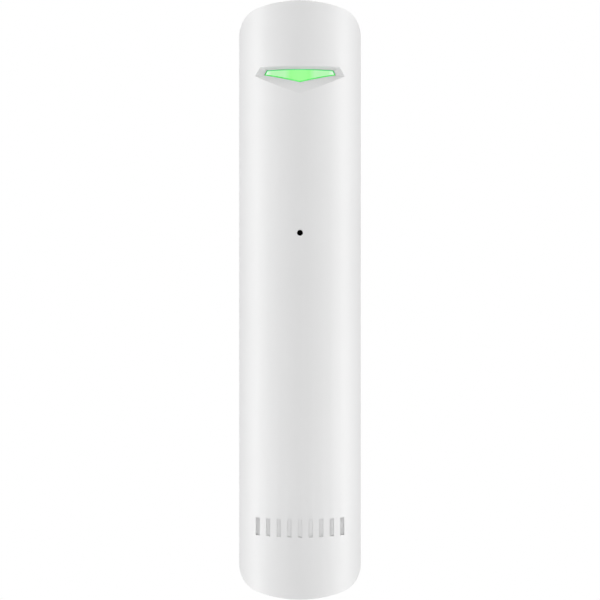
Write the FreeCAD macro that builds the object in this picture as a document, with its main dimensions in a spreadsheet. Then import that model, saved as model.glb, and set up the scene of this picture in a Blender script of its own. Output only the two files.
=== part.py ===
import FreeCAD, Part
import os
import re
import Sketcher

# A slim wall-mounted glass break sensor: a D-section stick with a lit V-shaped window near the
# top of its front, a pinhole for the microphone and a row of engraved grooves near the bottom.
# Frame: X across the front, Y from the room towards the wall, Z up. The origin is the centre of
# the bracket's flat back, so the wall is the plane Y = 0 and the front faces -Y.
# All sizes are in millimetres. Places are worked out from the sheet's sizes by expressions.

doc = FreeCAD.newDocument("glass_break_sensor")
sheet = doc.addObject("Spreadsheet::Sheet", "Sizes")

SIZES = {
    # housing form
    "body_height": (90.0, "end to end, along Z"),
    "crown_radius": (27.0, "shallow arc of each end, seen from the front"),
    "corner_radius": (3.7, "corners between an end and the sides"),
    "shell_wall": (1.2, "front cover's round wall and sides"),
    "end_wall": (1.4, "front cover's end walls"),
    "rim_wall": (0.7, "wall left beside the rear cover"),
    "rear_wall": (1.2, "rear cover's plate"),
    "fit_clearance": (0.1, "rear cover inside the front cover"),
    # engraved grooves
    "groove_height": (2.7, "each groove, along Z"),
    "groove_width": (0.6, "each groove, across"),
    "groove_pitch": (1.6, "groove to groove"),
    "groove_depth": (0.5, "below the round face"),
    "groove_inset": (10.7, "lower end to the row's middle"),
    # lit window
    "window_inset": (10.9, "upper end to the window's side corners"),
    "window_top": (0.72, "top edge above the side corners"),
    "window_drop": (1.28, "bottom tip below the side corners"),
    "window_half": (5.46, "side corner from the middle"),
    "window_slant": (0.37, "top corner further in than the side corner"),
    "window_depth": (0.95, "light guide's face below the round face"),
    "bezel_top": (0.35, "bevel's reach above the window"),
    "bezel_top_rise": (0.07, "bevel's top corners above the middle of its top edge"),
    "bezel_side": (1.37, "bevel's reach beside the window"),
    "bezel_side_drop": (0.17, "bevel's side corner below the window's"),
    "bezel_top_side": (0.88, "bevel's reach beside the window's top corner"),
    "bezel_tip": (1.7, "bevel's reach below the window's tip"),
    "bezel_bow": (0.2, "how far the lower bevel edge bows down"),
    "frame_margin": (1.3, "thick wall around the window"),
    "frame_depth": (4.0, "crest to the back of the thick wall"),
    # light guide
    "guide_gap": (0.05, "light guide in its window"),
    "guide_flange": (1.0, "flange thickness"),
    "guide_overlap": (0.5, "flange past the window"),
    "guide_side_gap": (0.25, "at least, from the flange to the housing's wall"),
    "guide_stem_width": (4.8, "stem across"),
    "guide_stem_height": (1.8, "stem along Z"),
    "led_width": (3.5, "indicator LED across"),
    "led_height": (2.8, "indicator LED along Z"),
    "led_thickness": (1.9, "indicator LED off the board"),
    "led_gap": (0.4, "LED to the light guide"),
    # microphone
    "sound_hole": (0.9, "diameter of the pinhole in the front"),
    "sound_share": (0.2345, "pinhole's place up the board"),
    "capsule_diameter": (6.0, "electret capsule"),
    "capsule_length": (2.7, "electret capsule"),
    "gasket_wall": (0.8, "rubber sleeve around the capsule"),
    "gasket_front": (0.6, "rubber in front of the capsule"),
    "gasket_length": (3.0, "rubber sleeve, front to back"),
    "gasket_hole": (1.6, "sound passage in the rubber"),
    "mesh_thickness": (0.12, "dust mesh in front of the rubber"),
    "collar_wall": (0.95, "front cover's collar around the rubber"),
    "collar_length": (4.2, "collar off the round wall"),
    "lead_diameter": (0.5, "capsule leads"),
    "lead_pitch": (2.54, "capsule leads"),
    # circuit board
    "board_thickness": (1.0, "glass-fibre board"),
    "board_depth": (9.0, "wall to the board's back face"),
    "board_margin": (0.35, "board edge to the housing wall"),
    "board_gap": (0.9, "board to the screw bosses above and below it"),
    "board_chamfer": (1.0, "board's cut corners"),
    "post_radius": (1.5, "board posts on the rear cover"),
    "post_margin": (2.2, "post's axis inside the board's edges"),
    "post_share": (0.2655, "lower pair of posts up the board"),
    "board_hole": (1.1, "radius of the board's holes"),
    "board_screw_radius": (0.8, "board screw shank"),
    "board_screw_length": (5.0, "board screw shank"),
    "board_screw_head": (1.6, "board screw head radius"),
    # cover screws
    "boss_radius": (2.2, "screw bosses in the front cover"),
    "boss_gap": (1.5, "upper contact wall to the lower screw well"),
    "end_gap": (1.1, "upper screw boss to the end wall"),
    "well_radius": (2.7, "outside of the rear cover's screw wells"),
    "well_floor": (1.2, "rear cover under a screw head"),
    "cover_screw_radius": (1.0, "cover screw shank"),
    "cover_screw_length": (7.6, "cover screw shank"),
    "cover_screw_head": (1.9, "cover screw head radius"),
    "screw_head_height": (1.1, "both kinds of screw"),
    "screw_slot": (0.5, "driver slot width"),
    "screw_play": (0.15, "clearance around shanks and heads"),
    "thread_grip": (0.02, "gap left between a shank and its pilot hole"),
    # battery
    "cell_diameter": (16.8, "3 V lithium cell"),
    "cell_length": (34.2, "cell with its nub"),
    "cell_wall": (0.9, "housing wall left beside and in front of the cell"),
    "cell_back": (0.45, "cell to the housing's rear face"),
    "low_gap": (0.72, "end wall to the lower contact wall"),
    "nub_diameter": (6.4, "positive nub"),
    "nub_height": (0.8, "positive nub"),
    "cell_clearance": (0.15, "around the cell"),
    "cell_window": (7.0, "opening in the rear cover behind the cell"),
    "cradle_thickness": (1.0, "cradle ribs on the rear cover"),
    "cradle_inset": (0.4, "cradle rib to the cell's opening and to the wire"),
    "cradle_spacing": (20.0, "between the two pairs of cradle ribs"),
    "partition_thickness": (0.9, "walls that hold the contacts"),
    "partition_gap": (0.4, "contact wall to the positive tail"),
    "partition_past": (0.25, "contact wall past its contact plate"),
    "contact_thickness": (0.3, "nickel strip"),
    "contact_width": (5.0, "contact tongue"),
    "contact_reach": (5.4, "contact plate along Y"),
    "contact_arm": (1.5, "strip from a contact plate to its tail or wire"),
    "tongue_rise": (0.78, "contact tongue towards the cell"),
    "tongue_half": (1.5, "half of the tongue's width"),
    "tongue_land": (0.8, "flat of the tongue on the cell"),
    "tail_margin": (0.5, "positive tail inside the board's edge"),
    "tail_width": (2.0, "positive tail to the board"),
    "tail_lap": (3.0, "positive tail on the board"),
    "wire_diameter": (0.8, "insulated negative wire"),
    "wire_gap": (0.12, "wire to the room around the cell"),
    "wire_across": (0.745, "sideways share of the wire's way from the cell's axis"),
    "wire_bend": (1.2, "wire's bend radius"),
    "wire_lap": (3.2, "wire's end above the board's lower edge"),
    # wall bracket
    "bracket_thickness": (1.6, "plate"),
    "bracket_inset": (0.45, "plate edge inside the housing's outline"),
    "slide_clearance": (0.1, "plate to housing"),
    "wall_hole": (3.4, "diameter of each wall screw hole"),
    "wall_hole_inset": (9.0, "wall screw holes inside the housing's ends"),
    "sink_diameter": (5.4, "countersink at the face"),
    "hook_width": (1.6, "hook across"),
    "hook_stem": (1.2, "hook stem along Z"),
    "hook_lip": (2.6, "hook lip above its stem"),
    "hook_thickness": (0.8, "hook lip along Y"),
    "hook_share": (0.336, "hook's middle from the centre line, as a share of the width"),
    "hook_end_inset": (19.0, "hook stems inside the housing's ends"),
    "release_travel": (3.2, "how far the housing slides up to come off"),
    "hang_clearance": (0.05, "above a hook stem"),
    "tab_gap": (0.35, "gap around the break-out tab to the hooks' line"),
    "tab_height": (13.5, "tab along Z"),
    "tab_above": (5.6, "tab above the tamper plunger's axis"),
    "tab_hole_drop": (4.3, "tab's screw hole below the tamper plunger's axis"),
    "perforation": (0.6, "gap around the tab"),
    "bridge_width": (1.0, "webs that hold the tab"),
    "bridge_thickness": (0.7, "webs that hold the tab"),
    "cable_hole": (3.6, "diameter of the cable hole"),
    "cable_web": (0.9, "between the cable hole and the tab's gap"),
    # snap tongues
    "snap_thickness": (0.7, "tongue on the rear cover"),
    "snap_length": (2.9, "tongue off the rear cover's plate"),
    "snap_width": (5.0, "tongue along Z"),
    "snap_barb": (0.3, "barb past the tongue"),
    "snap_groove": (0.4, "pocket in the front cover's wall"),
    "snap_end_inset": (12.0, "tongues inside the housing's ends"),
    # tamper switch
    "tamper_share": (0.367, "tamper plunger up the board"),
    "tamper_body": (6.0, "tamper switch, square"),
    "tamper_thickness": (2.0, "tamper switch off the board"),
    "plunger_radius": (1.5, "shaft through the rear cover"),
    "plunger_flange": (2.5, "flange radius"),
    "plunger_flange_thickness": (0.7, "flange"),
    "plunger_pin": (1.0, "pin radius inside the switch"),
    "plunger_pin_depth": (0.6, "pin inside the switch at rest"),
    "plunger_travel": (0.5, "further travel when pressed"),
    "spring_length": (2.1, "tamper spring between switch and flange"),
    "spring_wire": (0.4, "tamper spring wire"),
    "spring_radius": (1.75, "tamper spring's mean radius"),
    "spring_turns": (3.0, "tamper spring"),
    "button_play": (0.2, "around a plunger or button in the rear cover"),
    "pin_play": (0.05, "around a pin in its switch"),
    # power switch
    "power_share": (0.78, "power button up the board"),
    "power_body": (4.5, "power switch, square"),
    "power_thickness": (2.2, "power switch off the board"),
    "button_radius": (1.6, "button cap"),
    "button_recess": (0.4, "button below the rear face"),
    "button_flange": (2.1, "flange radius"),
    "button_flange_thickness": (0.7, "flange"),
    "button_flange_gap": (0.9, "flange to the rear cover's plate"),
    "button_pin": (0.8, "pin radius inside the switch"),
    "button_pin_depth": (0.5, "pin inside the switch at rest"),
    "button_travel": (0.3, "power button"),
    # terminal block
    "terminal_half": (3.5, "half of the block's width"),
    "terminal_share": (0.113, "block's middle up the board"),
    "terminal_height": (5.8, "block along Z"),
    "terminal_thickness": (5.0, "block off the board"),
    "terminal_pitch": (3.5, "between its two screws"),
    "terminal_screw": (1.1, "clamp screw radius"),
    "terminal_recess": (0.6, "screw below the block's face"),
    "terminal_wire_hole": (0.8, "wire entry radius"),
    "terminal_wire_level": (1.6, "board to a wire entry's axis"),
    "terminal_screw_length": (1.8, "clamp screw"),
    "access_margin": (0.4, "rear cover's opening around the block"),
    # parts on the board
    "shield_margin": (2.4, "radio shield inside the board's edges"),
    "shield_share": (0.515, "shield's middle up the board"),
    "shield_height": (9.0, "shield along Z"),
    "shield_thickness": (2.2, "shield off the board"),
    "shield_wall": (0.2, "shield's sheet"),
    "shield_vent": (0.5, "radius of each vent"),
    "shield_vent_pitch": (2.6, "vent to vent"),
    "chip_size": (4.0, "processor, square"),
    "chip_thickness": (0.9, "processor"),
    "chip_share": (0.59, "processor up the board"),
    "chip_pins": (6.0, "pins on each side"),
    "chip_pin_pitch": (0.5, "pin to pin"),
    "chip_pin_reach": (0.45, "pins past the body"),
    "crystal_width": (3.2, "crystal can"),
    "crystal_height": (2.5, "crystal can"),
    "crystal_thickness": (0.8, "crystal can"),
    "side_part_margin": (1.3, "capacitor inside the board's edge"),
    "side_part_share": (0.082, "crystal and capacitor up the board"),
    "capacitor_radius": (2.0, "capacitor can"),
    "capacitor_gap": (0.2, "capacitor can behind the collar's end"),
    "capacitor_base": (0.8, "capacitor's plastic foot"),
    "capsule_port": (0.8, "radius of the capsule's port"),
    "capsule_port_depth": (0.3, "capsule's port"),
    "solder_height": (0.4, "solder at the foot of a lead"),
    "solder_radius": (0.6, "solder at the foot of a lead"),
    "antenna_wire": (0.7, "antenna wire"),
    "antenna_fill": (0.2833, "coil's mean radius as a share of the room it stands in"),
    "antenna_turns": (6.0, "antenna coil"),
    "antenna_length": (9.6, "antenna coil across"),
    "antenna_share": (0.7514, "antenna's axis up the board"),
    "antenna_gap": (0.35, "coil to the plane behind the window"),
    # label
    "label_gap": (0.45, "label to the hook slots' line"),
    "label_height": (5.4, "label along Z"),
    "label_thickness": (0.1, "label"),
    "label_recess": (0.15, "label's recess in the rear cover"),
}


# Places and sizes that follow from others. Heights are above the middle of the housing, and
# shares up the board run from its lower edge to its upper edge.
FOLLOWING = {
    "body_width": "cell_diameter + 2 * (cell_clearance + cell_wall)",
    "overall_depth": (
        "bracket_thickness + slide_clearance + cell_back"
        " + cell_diameter + cell_clearance + cell_wall"
    ),
    "axis_depth": "overall_depth - body_width / 2",
    "inner_half": "body_width / 2 - shell_wall",
    "front_room": "overall_depth - board_depth - board_thickness",
    "groove_level": "groove_inset - body_height / 2",
    "window_level": "body_height / 2 - window_inset",
    "contact_room": "end_wall + low_gap + partition_thickness + contact_thickness + tongue_rise",
    "cell_bottom": "contact_room - body_height / 2",
    "cell_top": "cell_bottom + cell_length",
    "boss_low": "cell_top + contact_thickness + partition_thickness + boss_gap + well_radius",
    "boss_high": "body_height / 2 - end_wall - end_gap - boss_radius",
    "board_half": "inner_half - board_margin",
    "board_bottom": "boss_low + boss_radius + board_gap",
    "board_top": "boss_high - boss_radius - board_gap",
    "board_height": "board_top - board_bottom",
    "post_offset": "board_half - post_margin",
    "post_low": "board_bottom + post_share * board_height",
    "post_high": "board_top - post_margin",
    "sound_level": "board_bottom + sound_share * board_height",
    "tamper_level": "board_bottom + tamper_share * board_height",
    "power_level": "board_bottom + power_share * board_height",
    "chip_level": "board_bottom + chip_share * board_height",
    "antenna_level": "board_bottom + antenna_share * board_height",
    "side_part_level": "board_bottom + side_part_share * board_height",
    "terminal_bottom": "board_bottom + terminal_share * board_height - terminal_height / 2",
    "shield_bottom": "board_bottom + shield_share * board_height - shield_height / 2",
    "label_level": "(tamper_level + power_level) / 2",
    "side_part_offset": "board_half - side_part_margin - capacitor_radius",
    "shield_half": "board_half - shield_margin",
    "capacitor_length": "front_room - shell_wall - collar_length - capacitor_gap",
    "antenna_room": "front_room - frame_depth",
    "antenna_radius": "antenna_room * antenna_fill",
    "antenna_standoff": "antenna_room - antenna_gap - antenna_wire / 2 - antenna_radius",
    "antenna_pitch": "antenna_length / round(antenna_turns)",
    "guide_room": "sqrt(inner_half ^ 2 - (overall_depth - frame_depth - axis_depth) ^ 2)",
    "guide_half": "min(window_half + guide_overlap; guide_room - guide_side_gap)",
    "tail_inner": "board_half - tail_margin - tail_width",
    "partition_half": "tail_inner - partition_gap",
    "partition_front": "axis_depth + contact_reach / 2 + partition_past",
    "wire_reach": "cell_diameter / 2 + cell_clearance + wire_gap + wire_diameter / 2",
    "wire_side": "wire_reach * wire_across",
    "wire_depth": "axis_depth - wire_reach * sqrt(1 - wire_across ^ 2)",
    "wire_top": "board_bottom + wire_lap",
    "cradle_inner": "cell_window / 2 + cradle_inset",
    "cradle_outer": "wire_side - wire_diameter / 2 - cradle_inset",
    "hook_side": "body_width * hook_share",
    "hook_level": "body_height / 2 - hook_end_inset",
    "snap_level": "body_height / 2 - snap_end_inset",
    "wall_hole_spacing": "body_height - 2 * wall_hole_inset",
    "label_half": "hook_side - hook_width / 2 - button_play - label_gap",
    "tab_half": "hook_side - hook_width / 2 - perforation - tab_gap",
    "tab_top": "tamper_level + tab_above",
    "tab_bottom": "tab_top - tab_height",
    "tab_hole_level": "tamper_level - tab_hole_drop",
    "cable_level": "tab_bottom - perforation - cable_web - cable_hole / 2",
}


def fill_sheet():
    # one row for each size: its alias, its value and what it is
    for row, (alias, (value, note)) in enumerate(SIZES.items(), start=1):
        sheet.set(f"A{row}", alias)
        sheet.set(f"B{row}", str(value))
        sheet.setAlias(f"B{row}", alias)
        sheet.set(f"C{row}", note)
    doc.recompute()


def bound(text):
    # spells out what follows from other sizes, and turns sizes into references to the sheet
    def spell(match):
        name = match[0]
        if name in FOLLOWING:
            return f"({bound(FOLLOWING[name])})"
        return f"Sizes.{name}" if name in SIZES else name

    return re.sub(r"[a-z_]+", spell, text)


def number(text):
    return float(sheet.evalExpression(bound(text)))


def bind(piece, **sizes):
    for name, text in sizes.items():
        piece.setExpression(name, bound(text))
    return piece


def place(piece, x, y, z):
    for axis, text in zip("xyz", (x, y, z)):
        piece.setExpression(f"Placement.Base.{axis}", bound(text))
    return piece


def on_side(hand, near, far):
    # a span from near to far of the middle, on the right (1) or the left (-1)
    return (near, far) if hand > 0 else (f"-({far})", f"-({near})")


def around(middle, half):
    return (f"{middle} - ({half})", f"{middle} + ({half})")


# Basic solids. A pair of expressions gives a solid's low and high end along an axis.


def block(name, x, y, z):
    piece = doc.addObject("Part::Box", name)
    bind(
        piece,
        Length=f"({x[1]}) - ({x[0]})",
        Width=f"({y[1]}) - ({y[0]})",
        Height=f"({z[1]}) - ({z[0]})",
    )
    return place(piece, x[0], y[0], z[0])


TURN = {
    "x": FreeCAD.Rotation(FreeCAD.Vector(0, 1, 0), 90),
    "y": FreeCAD.Rotation(FreeCAD.Vector(1, 0, 0), -90),
    "z": FreeCAD.Rotation(),
}


def lie_along(piece, length_name, x, y, z):
    # sets a round solid's axis, start and length: the pair among x, y and z is its axis
    spans = {"x": x, "y": y, "z": z}
    axis = next(a for a, span in spans.items() if isinstance(span, tuple))
    low, high = spans[axis]
    spans[axis] = low
    piece.Placement = FreeCAD.Placement(FreeCAD.Vector(), TURN[axis])
    bind(piece, **{length_name: f"({high}) - ({low})"})
    return place(piece, spans["x"], spans["y"], spans["z"])


def rod(name, radius, x, y, z):
    piece = bind(doc.addObject("Part::Cylinder", name), Radius=radius)
    return lie_along(piece, "Height", x, y, z)


def taper(name, low_radius, high_radius, x, y, z):
    piece = bind(doc.addObject("Part::Cone", name), Radius1=low_radius, Radius2=high_radius)
    return lie_along(piece, "Height", x, y, z)


def fuse(name, *pieces):
    joined = doc.addObject("Part::MultiFuse", name)
    joined.Shapes = list(pieces)
    joined.Refine = True
    return joined


def cut(name, base, *tools):
    result = doc.addObject("Part::Cut", name)
    result.Base = base
    result.Tool = tools[0] if len(tools) == 1 else fuse(name + "_tools", *tools)
    return result


def common(name, *pieces):
    result = doc.addObject("Part::MultiCommon", name)
    result.Shapes = list(pieces)
    return result


# Sketched solids


def sketch_in(body, role, start):
    # a sketch on one of the body's own planes, moved along the plane's normal by start
    sketch = body.newObject("Sketcher::SketchObject", body.Name + "_sketch")
    plane = next(f for f in body.Origin.OriginFeatures if f.Role == role)
    sketch.AttachmentSupport = [(plane, "")]
    sketch.MapMode = "FlatFace"
    sketch.setExpression(".AttachmentOffset.Base.z", bound(start))
    return sketch


def pad(body, sketch, length):
    feature = body.newObject("PartDesign::Pad", body.Name + "_pad")
    feature.Profile = sketch
    bind(feature, Length=length)
    sketch.Visibility = False
    return body


def pin_point(sketch, edge, end, across, up):
    # holds one end of an edge at a place given by two expressions
    for kind, axis, text in (("DistanceX", -2, across), ("DistanceY", -1, up)):
        if text == "0":
            sketch.addConstraint(Sketcher.Constraint("PointOnObject", edge, end, axis))
            continue
        rule = Sketcher.Constraint(kind, -1, 1, edge, end, number(text))
        sketch.setExpression(f"Constraints[{sketch.addConstraint(rule)}]", bound(text))


def prism(name, role, points, low, high):
    # a straight-sided profile, padded from low to high along the plane's axis
    body = doc.addObject("PartDesign::Body", name)
    start = f"-({high})" if role == "XZ_Plane" else low
    sketch = sketch_in(body, role, start)
    corners = [FreeCAD.Vector(number(across), number(up), 0) for across, up in points]
    for index, corner in enumerate(corners):
        following = corners[(index + 1) % len(corners)]
        sketch.addGeometry(Part.LineSegment(corner, following))
    for index, (across, up) in enumerate(points):
        following = (index + 1) % len(points)
        sketch.addConstraint(Sketcher.Constraint("Coincident", index, 2, following, 1))
        pin_point(sketch, index, 1, across, up)
    return pad(body, sketch, f"({high}) - ({low})")


def arc(centre, start, end):
    # an anticlockwise arc between two points at the same distance from its centre
    circle = Part.Circle(centre, FreeCAD.Vector(0, 0, 1), (start - centre).Length)
    return Part.ArcOfCircle(circle, circle.parameter(start), circle.parameter(end))


def stick_outline(name, inset, end_inset, low, high):
    # the housing's front outline, inset from its sides and ends, padded along Y
    half = f"(body_width / 2 - ({inset}))"
    tall = f"(body_height / 2 - ({end_inset}))"
    crown = f"(crown_radius - ({end_inset}))"
    corner = f"(corner_radius - ({inset}))"
    body = doc.addObject("PartDesign::Body", name)
    sketch = sketch_in(body, "XZ_Plane", f"-({high})")
    in_x = number(f"{half} - {corner}")
    crown_z = number(f"{tall} - {crown}")
    reach = number(f"{crown} - {corner}")
    in_z = crown_z + (reach**2 - in_x**2) ** 0.5
    share = number(crown) / reach
    side = number(half)
    touch = (in_x * share, crown_z + (in_z - crown_z) * share)

    def at(across, up):
        return FreeCAD.Vector(across, up, 0)

    # anticlockwise from the right side: side, corner, crown, corner, and the same below
    sketch.addGeometry(
        [
            Part.LineSegment(at(side, -in_z), at(side, in_z)),
            arc(at(in_x, in_z), at(side, in_z), at(*touch)),
            arc(at(0, crown_z), at(*touch), at(-touch[0], touch[1])),
            arc(at(-in_x, in_z), at(-touch[0], touch[1]), at(-side, in_z)),
            Part.LineSegment(at(-side, in_z), at(-side, -in_z)),
            arc(at(-in_x, -in_z), at(-side, -in_z), at(-touch[0], -touch[1])),
            arc(at(0, -crown_z), at(-touch[0], -touch[1]), at(touch[0], -touch[1])),
            arc(at(in_x, -in_z), at(touch[0], -touch[1]), at(side, -in_z)),
        ]
    )
    for edge in range(8):
        following = (edge + 1) % 8
        sketch.addConstraint(Sketcher.Constraint("Tangent", edge, 2, following, 1))
    for edge, size in ((1, corner), (2, crown), (3, corner), (5, corner), (6, crown), (7, corner)):
        rule = Sketcher.Constraint("Radius", edge, number(size))
        sketch.setExpression(f"Constraints[{sketch.addConstraint(rule)}]", bound(size))
    pin_point(sketch, 2, 3, "0", f"{tall} - {crown}")
    pin_point(sketch, 6, 3, "0", f"-({tall} - {crown})")
    for edge, size in ((0, half), (4, f"-{half}")):
        rule = Sketcher.Constraint("DistanceX", -1, 1, edge, 1, number(size))
        sketch.setExpression(f"Constraints[{sketch.addConstraint(rule)}]", bound(size))
    return pad(body, sketch, f"({high}) - ({low})")


def round_front(name, inset, high):
    # the D-shaped section with its round face towards the room, as long as the housing
    radius = f"(body_width / 2 - ({inset}))"
    body = doc.addObject("PartDesign::Body", name)
    sketch = sketch_in(body, "XY_Plane", f"-body_height / 2 - {BEYOND}")
    side, centre, rear = number(radius), number(AXIS_Y), number(high)

    def at(across, up):
        return FreeCAD.Vector(across, up, 0)

    sketch.addGeometry(
        [
            arc(at(0, centre), at(-side, centre), at(side, centre)),
            Part.LineSegment(at(side, centre), at(side, rear)),
            Part.LineSegment(at(side, rear), at(-side, rear)),
            Part.LineSegment(at(-side, rear), at(-side, centre)),
        ]
    )
    sketch.addConstraint(Sketcher.Constraint("Coincident", 0, 2, 1, 1))
    sketch.addConstraint(Sketcher.Constraint("Coincident", 1, 2, 2, 1))
    sketch.addConstraint(Sketcher.Constraint("Coincident", 2, 2, 3, 1))
    sketch.addConstraint(Sketcher.Constraint("Coincident", 3, 2, 0, 1))
    pin_point(sketch, 0, 3, "0", AXIS_Y)
    pin_point(sketch, 1, 1, radius, AXIS_Y)
    pin_point(sketch, 2, 1, radius, high)
    pin_point(sketch, 3, 1, f"-{radius}", high)
    return pad(body, sketch, f"body_height + 2 * {BEYOND}")


def stick(name, inset, end_inset, high):
    # the housing's whole form, inset by a wall and open-ended at the plane Y = high
    outline = stick_outline(name + "_outline", inset, end_inset, f"-overall_depth - {BEYOND}", high)
    section = round_front(name + "_section", inset, high)
    return common(name, outline, section)


# Planes that several pieces share
BEYOND = "1"  # how far a cutting tool runs past what it cuts
AXIS_Y = "(-axis_depth)"  # axis of the round front and of the cell
REAR_Y = "(-bracket_thickness - slide_clearance)"  # housing's rear face
PLATE_Y = f"({REAR_Y} - rear_wall)"  # inner face of the rear cover's plate
BOARD_REAR = "(-board_depth)"
BOARD_FRONT = "(-board_depth - board_thickness)"
INNER_RADIUS = "inner_half"
INNER_CREST = "(shell_wall - overall_depth)"
FRAME_Y = "(frame_depth - overall_depth)"  # back of the thick wall around the window
FLANGE_Y = f"({FRAME_Y} + guide_flange)"
COLLAR_SEAT = "(shell_wall + 0.2 - overall_depth)"
CAPSULE_Y = f"({COLLAR_SEAT} + mesh_thickness + gasket_front)"
HEAD_Y = f"({REAR_Y} - slide_clearance - screw_head_height)"  # seat of a cover screw's head
WELL_Y = f"({HEAD_Y} - well_floor)"
LIP_Y = f"({PLATE_Y} - slide_clearance - hook_thickness)"  # front face of a hook's lip
SWITCH_Y = f"({BOARD_REAR} + tamper_thickness)"
LIGHT_Z = "(window_level + (window_top - window_drop) / 2)"
CONTACT_HIGH = f"(cell_top + contact_thickness)"
CONTACT_LOW = "(cell_bottom - tongue_rise - contact_thickness)"
WINDOW_CORNERS = [
    ("window_half - window_slant", "window_level + window_top"),
    ("window_half", "window_level"),
    ("0", "window_level - window_drop"),
    ("-window_half", "window_level"),
    ("window_slant - window_half", "window_level + window_top"),
]

fill_sheet()


def on_round_face(radius, across, up):
    # the point of a round face, concentric with the front, behind a place on the front view
    depth = number(AXIS_Y) - (radius**2 - across**2) ** 0.5
    return FreeCAD.Vector(across, depth, up)


def bezel_tool():
    # The bevel around the window is ruled between the window's outline on the light guide's
    # face and a wider outline on the housing's face, run on past that face so that it cuts.
    outer_radius = number("body_width / 2")
    inner_radius = number("body_width / 2 - window_depth")
    level, top = number("window_level"), number("window_level + window_top")
    tip = number("window_level - window_drop")
    half, slant = number("window_half"), number("window_slant")
    inner = {"middle": (0, top), "top": (half - slant, top), "side": (half, level), "tip": (0, tip)}
    outer = {
        "middle": (0, top + number("bezel_top")),
        "top": (half - slant + number("bezel_top_side"), top + number("bezel_top + bezel_top_rise")),
        "side": (half + number("bezel_side"), level - number("bezel_side_drop")),
        "tip": (0, tip - number("bezel_tip")),
    }
    steps = 8
    past = 1.4  # the bevel's length, as a share of its length up to the housing's face

    def edge(start, end, bow, hand):
        # the same stretch of outline on the light guide's face and past the housing's face
        low, high = [], []
        for step in range(steps + 1):
            t = step / steps

            def along(outline, sag):
                (x0, z0), (x1, z1) = outline[start], outline[end]
                return x0 + (x1 - x0) * t, z0 + (z1 - z0) * t - sag * 4 * t * (1 - t)

            near = on_round_face(inner_radius, *along(inner, 0))
            far = near + (on_round_face(outer_radius, *along(outer, bow)) - near) * past
            low.append(FreeCAD.Vector(near.x * hand, near.y, near.z))
            high.append(FreeCAD.Vector(far.x * hand, far.y, far.z))
        curves = []
        for points in (low, high):
            curve = Part.BSplineCurve()
            curve.interpolate(points)
            curves.append(curve.toShape())
        return curves

    faces = []
    for hand in (1, -1):
        top_edges = edge("middle", "top", 0, hand)
        lower_edges = edge("tip", "side", number("bezel_bow"), hand)
        side_edges = [
            Part.makeLine(a.Vertexes[-1].Point, b.Vertexes[-1].Point)
            for a, b in zip(top_edges, lower_edges)
        ]
        faces += [Part.makeRuledSurface(*pair) for pair in (top_edges, lower_edges, side_edges)]
        faces += [Part.makeRuledSurface(a, b) for a, b in zip(top_edges, lower_edges)]
    shell = Part.Shell([face for piece in faces for face in piece.Faces])
    shell.sewShape()
    solid = Part.Solid(shell)
    if solid.Volume < 0:
        solid.reverse()
    piece = doc.addObject("Part::Feature", "bezel_tool")
    piece.Shape = solid
    return piece


def groove_tools():
    # upright grooves with flat sides that run straight back, and a floor that follows the face
    count = 9
    bars = []
    for index in range(count):
        middle = f"groove_pitch * {index - (count - 1) / 2}"
        bars.append(
            block(
                f"groove_bar_{index + 1}",
                (f"{middle} - groove_width / 2", f"{middle} + groove_width / 2"),
                (f"-overall_depth - {BEYOND}", AXIS_Y),
                ("groove_level - groove_height / 2", "groove_level + groove_height / 2"),
            )
        )
    floor = rod(
        "groove_floor",
        "body_width / 2 - groove_depth",
        "0",
        AXIS_Y,
        around("groove_level", f"groove_height / 2 + {BEYOND}"),
    )
    return cut("groove_cuts", fuse("groove_bars", *bars), floor)


def snap_profile(hand):
    # one snap tongue with its barb, seen from above
    wall = f"({INNER_RADIUS} - fit_clearance)"
    tip = f"({PLATE_Y} - snap_length)"
    points = [
        (f"{wall} - snap_thickness", PLATE_Y),
        (wall, PLATE_Y),
        (wall, f"{PLATE_Y} - snap_length * 0.5"),
        (f"{wall} + snap_barb", f"{PLATE_Y} - snap_length * 0.6"),
        (wall, tip),
        (f"{wall} - snap_thickness", tip),
    ]
    return [(f"{hand} * ({across})", up) for across, up in points]


def snap_places():
    return [(hand, level) for hand in (1, -1) for level in ("-snap_level", "snap_level")]


def board_places():
    # the two board screws are on one diagonal, the two locating pins on the other
    screws = [("-post_offset", "post_low"), ("post_offset", "post_high")]
    pins = [("post_offset", "post_low"), ("-post_offset", "post_high")]
    return screws, pins


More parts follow.
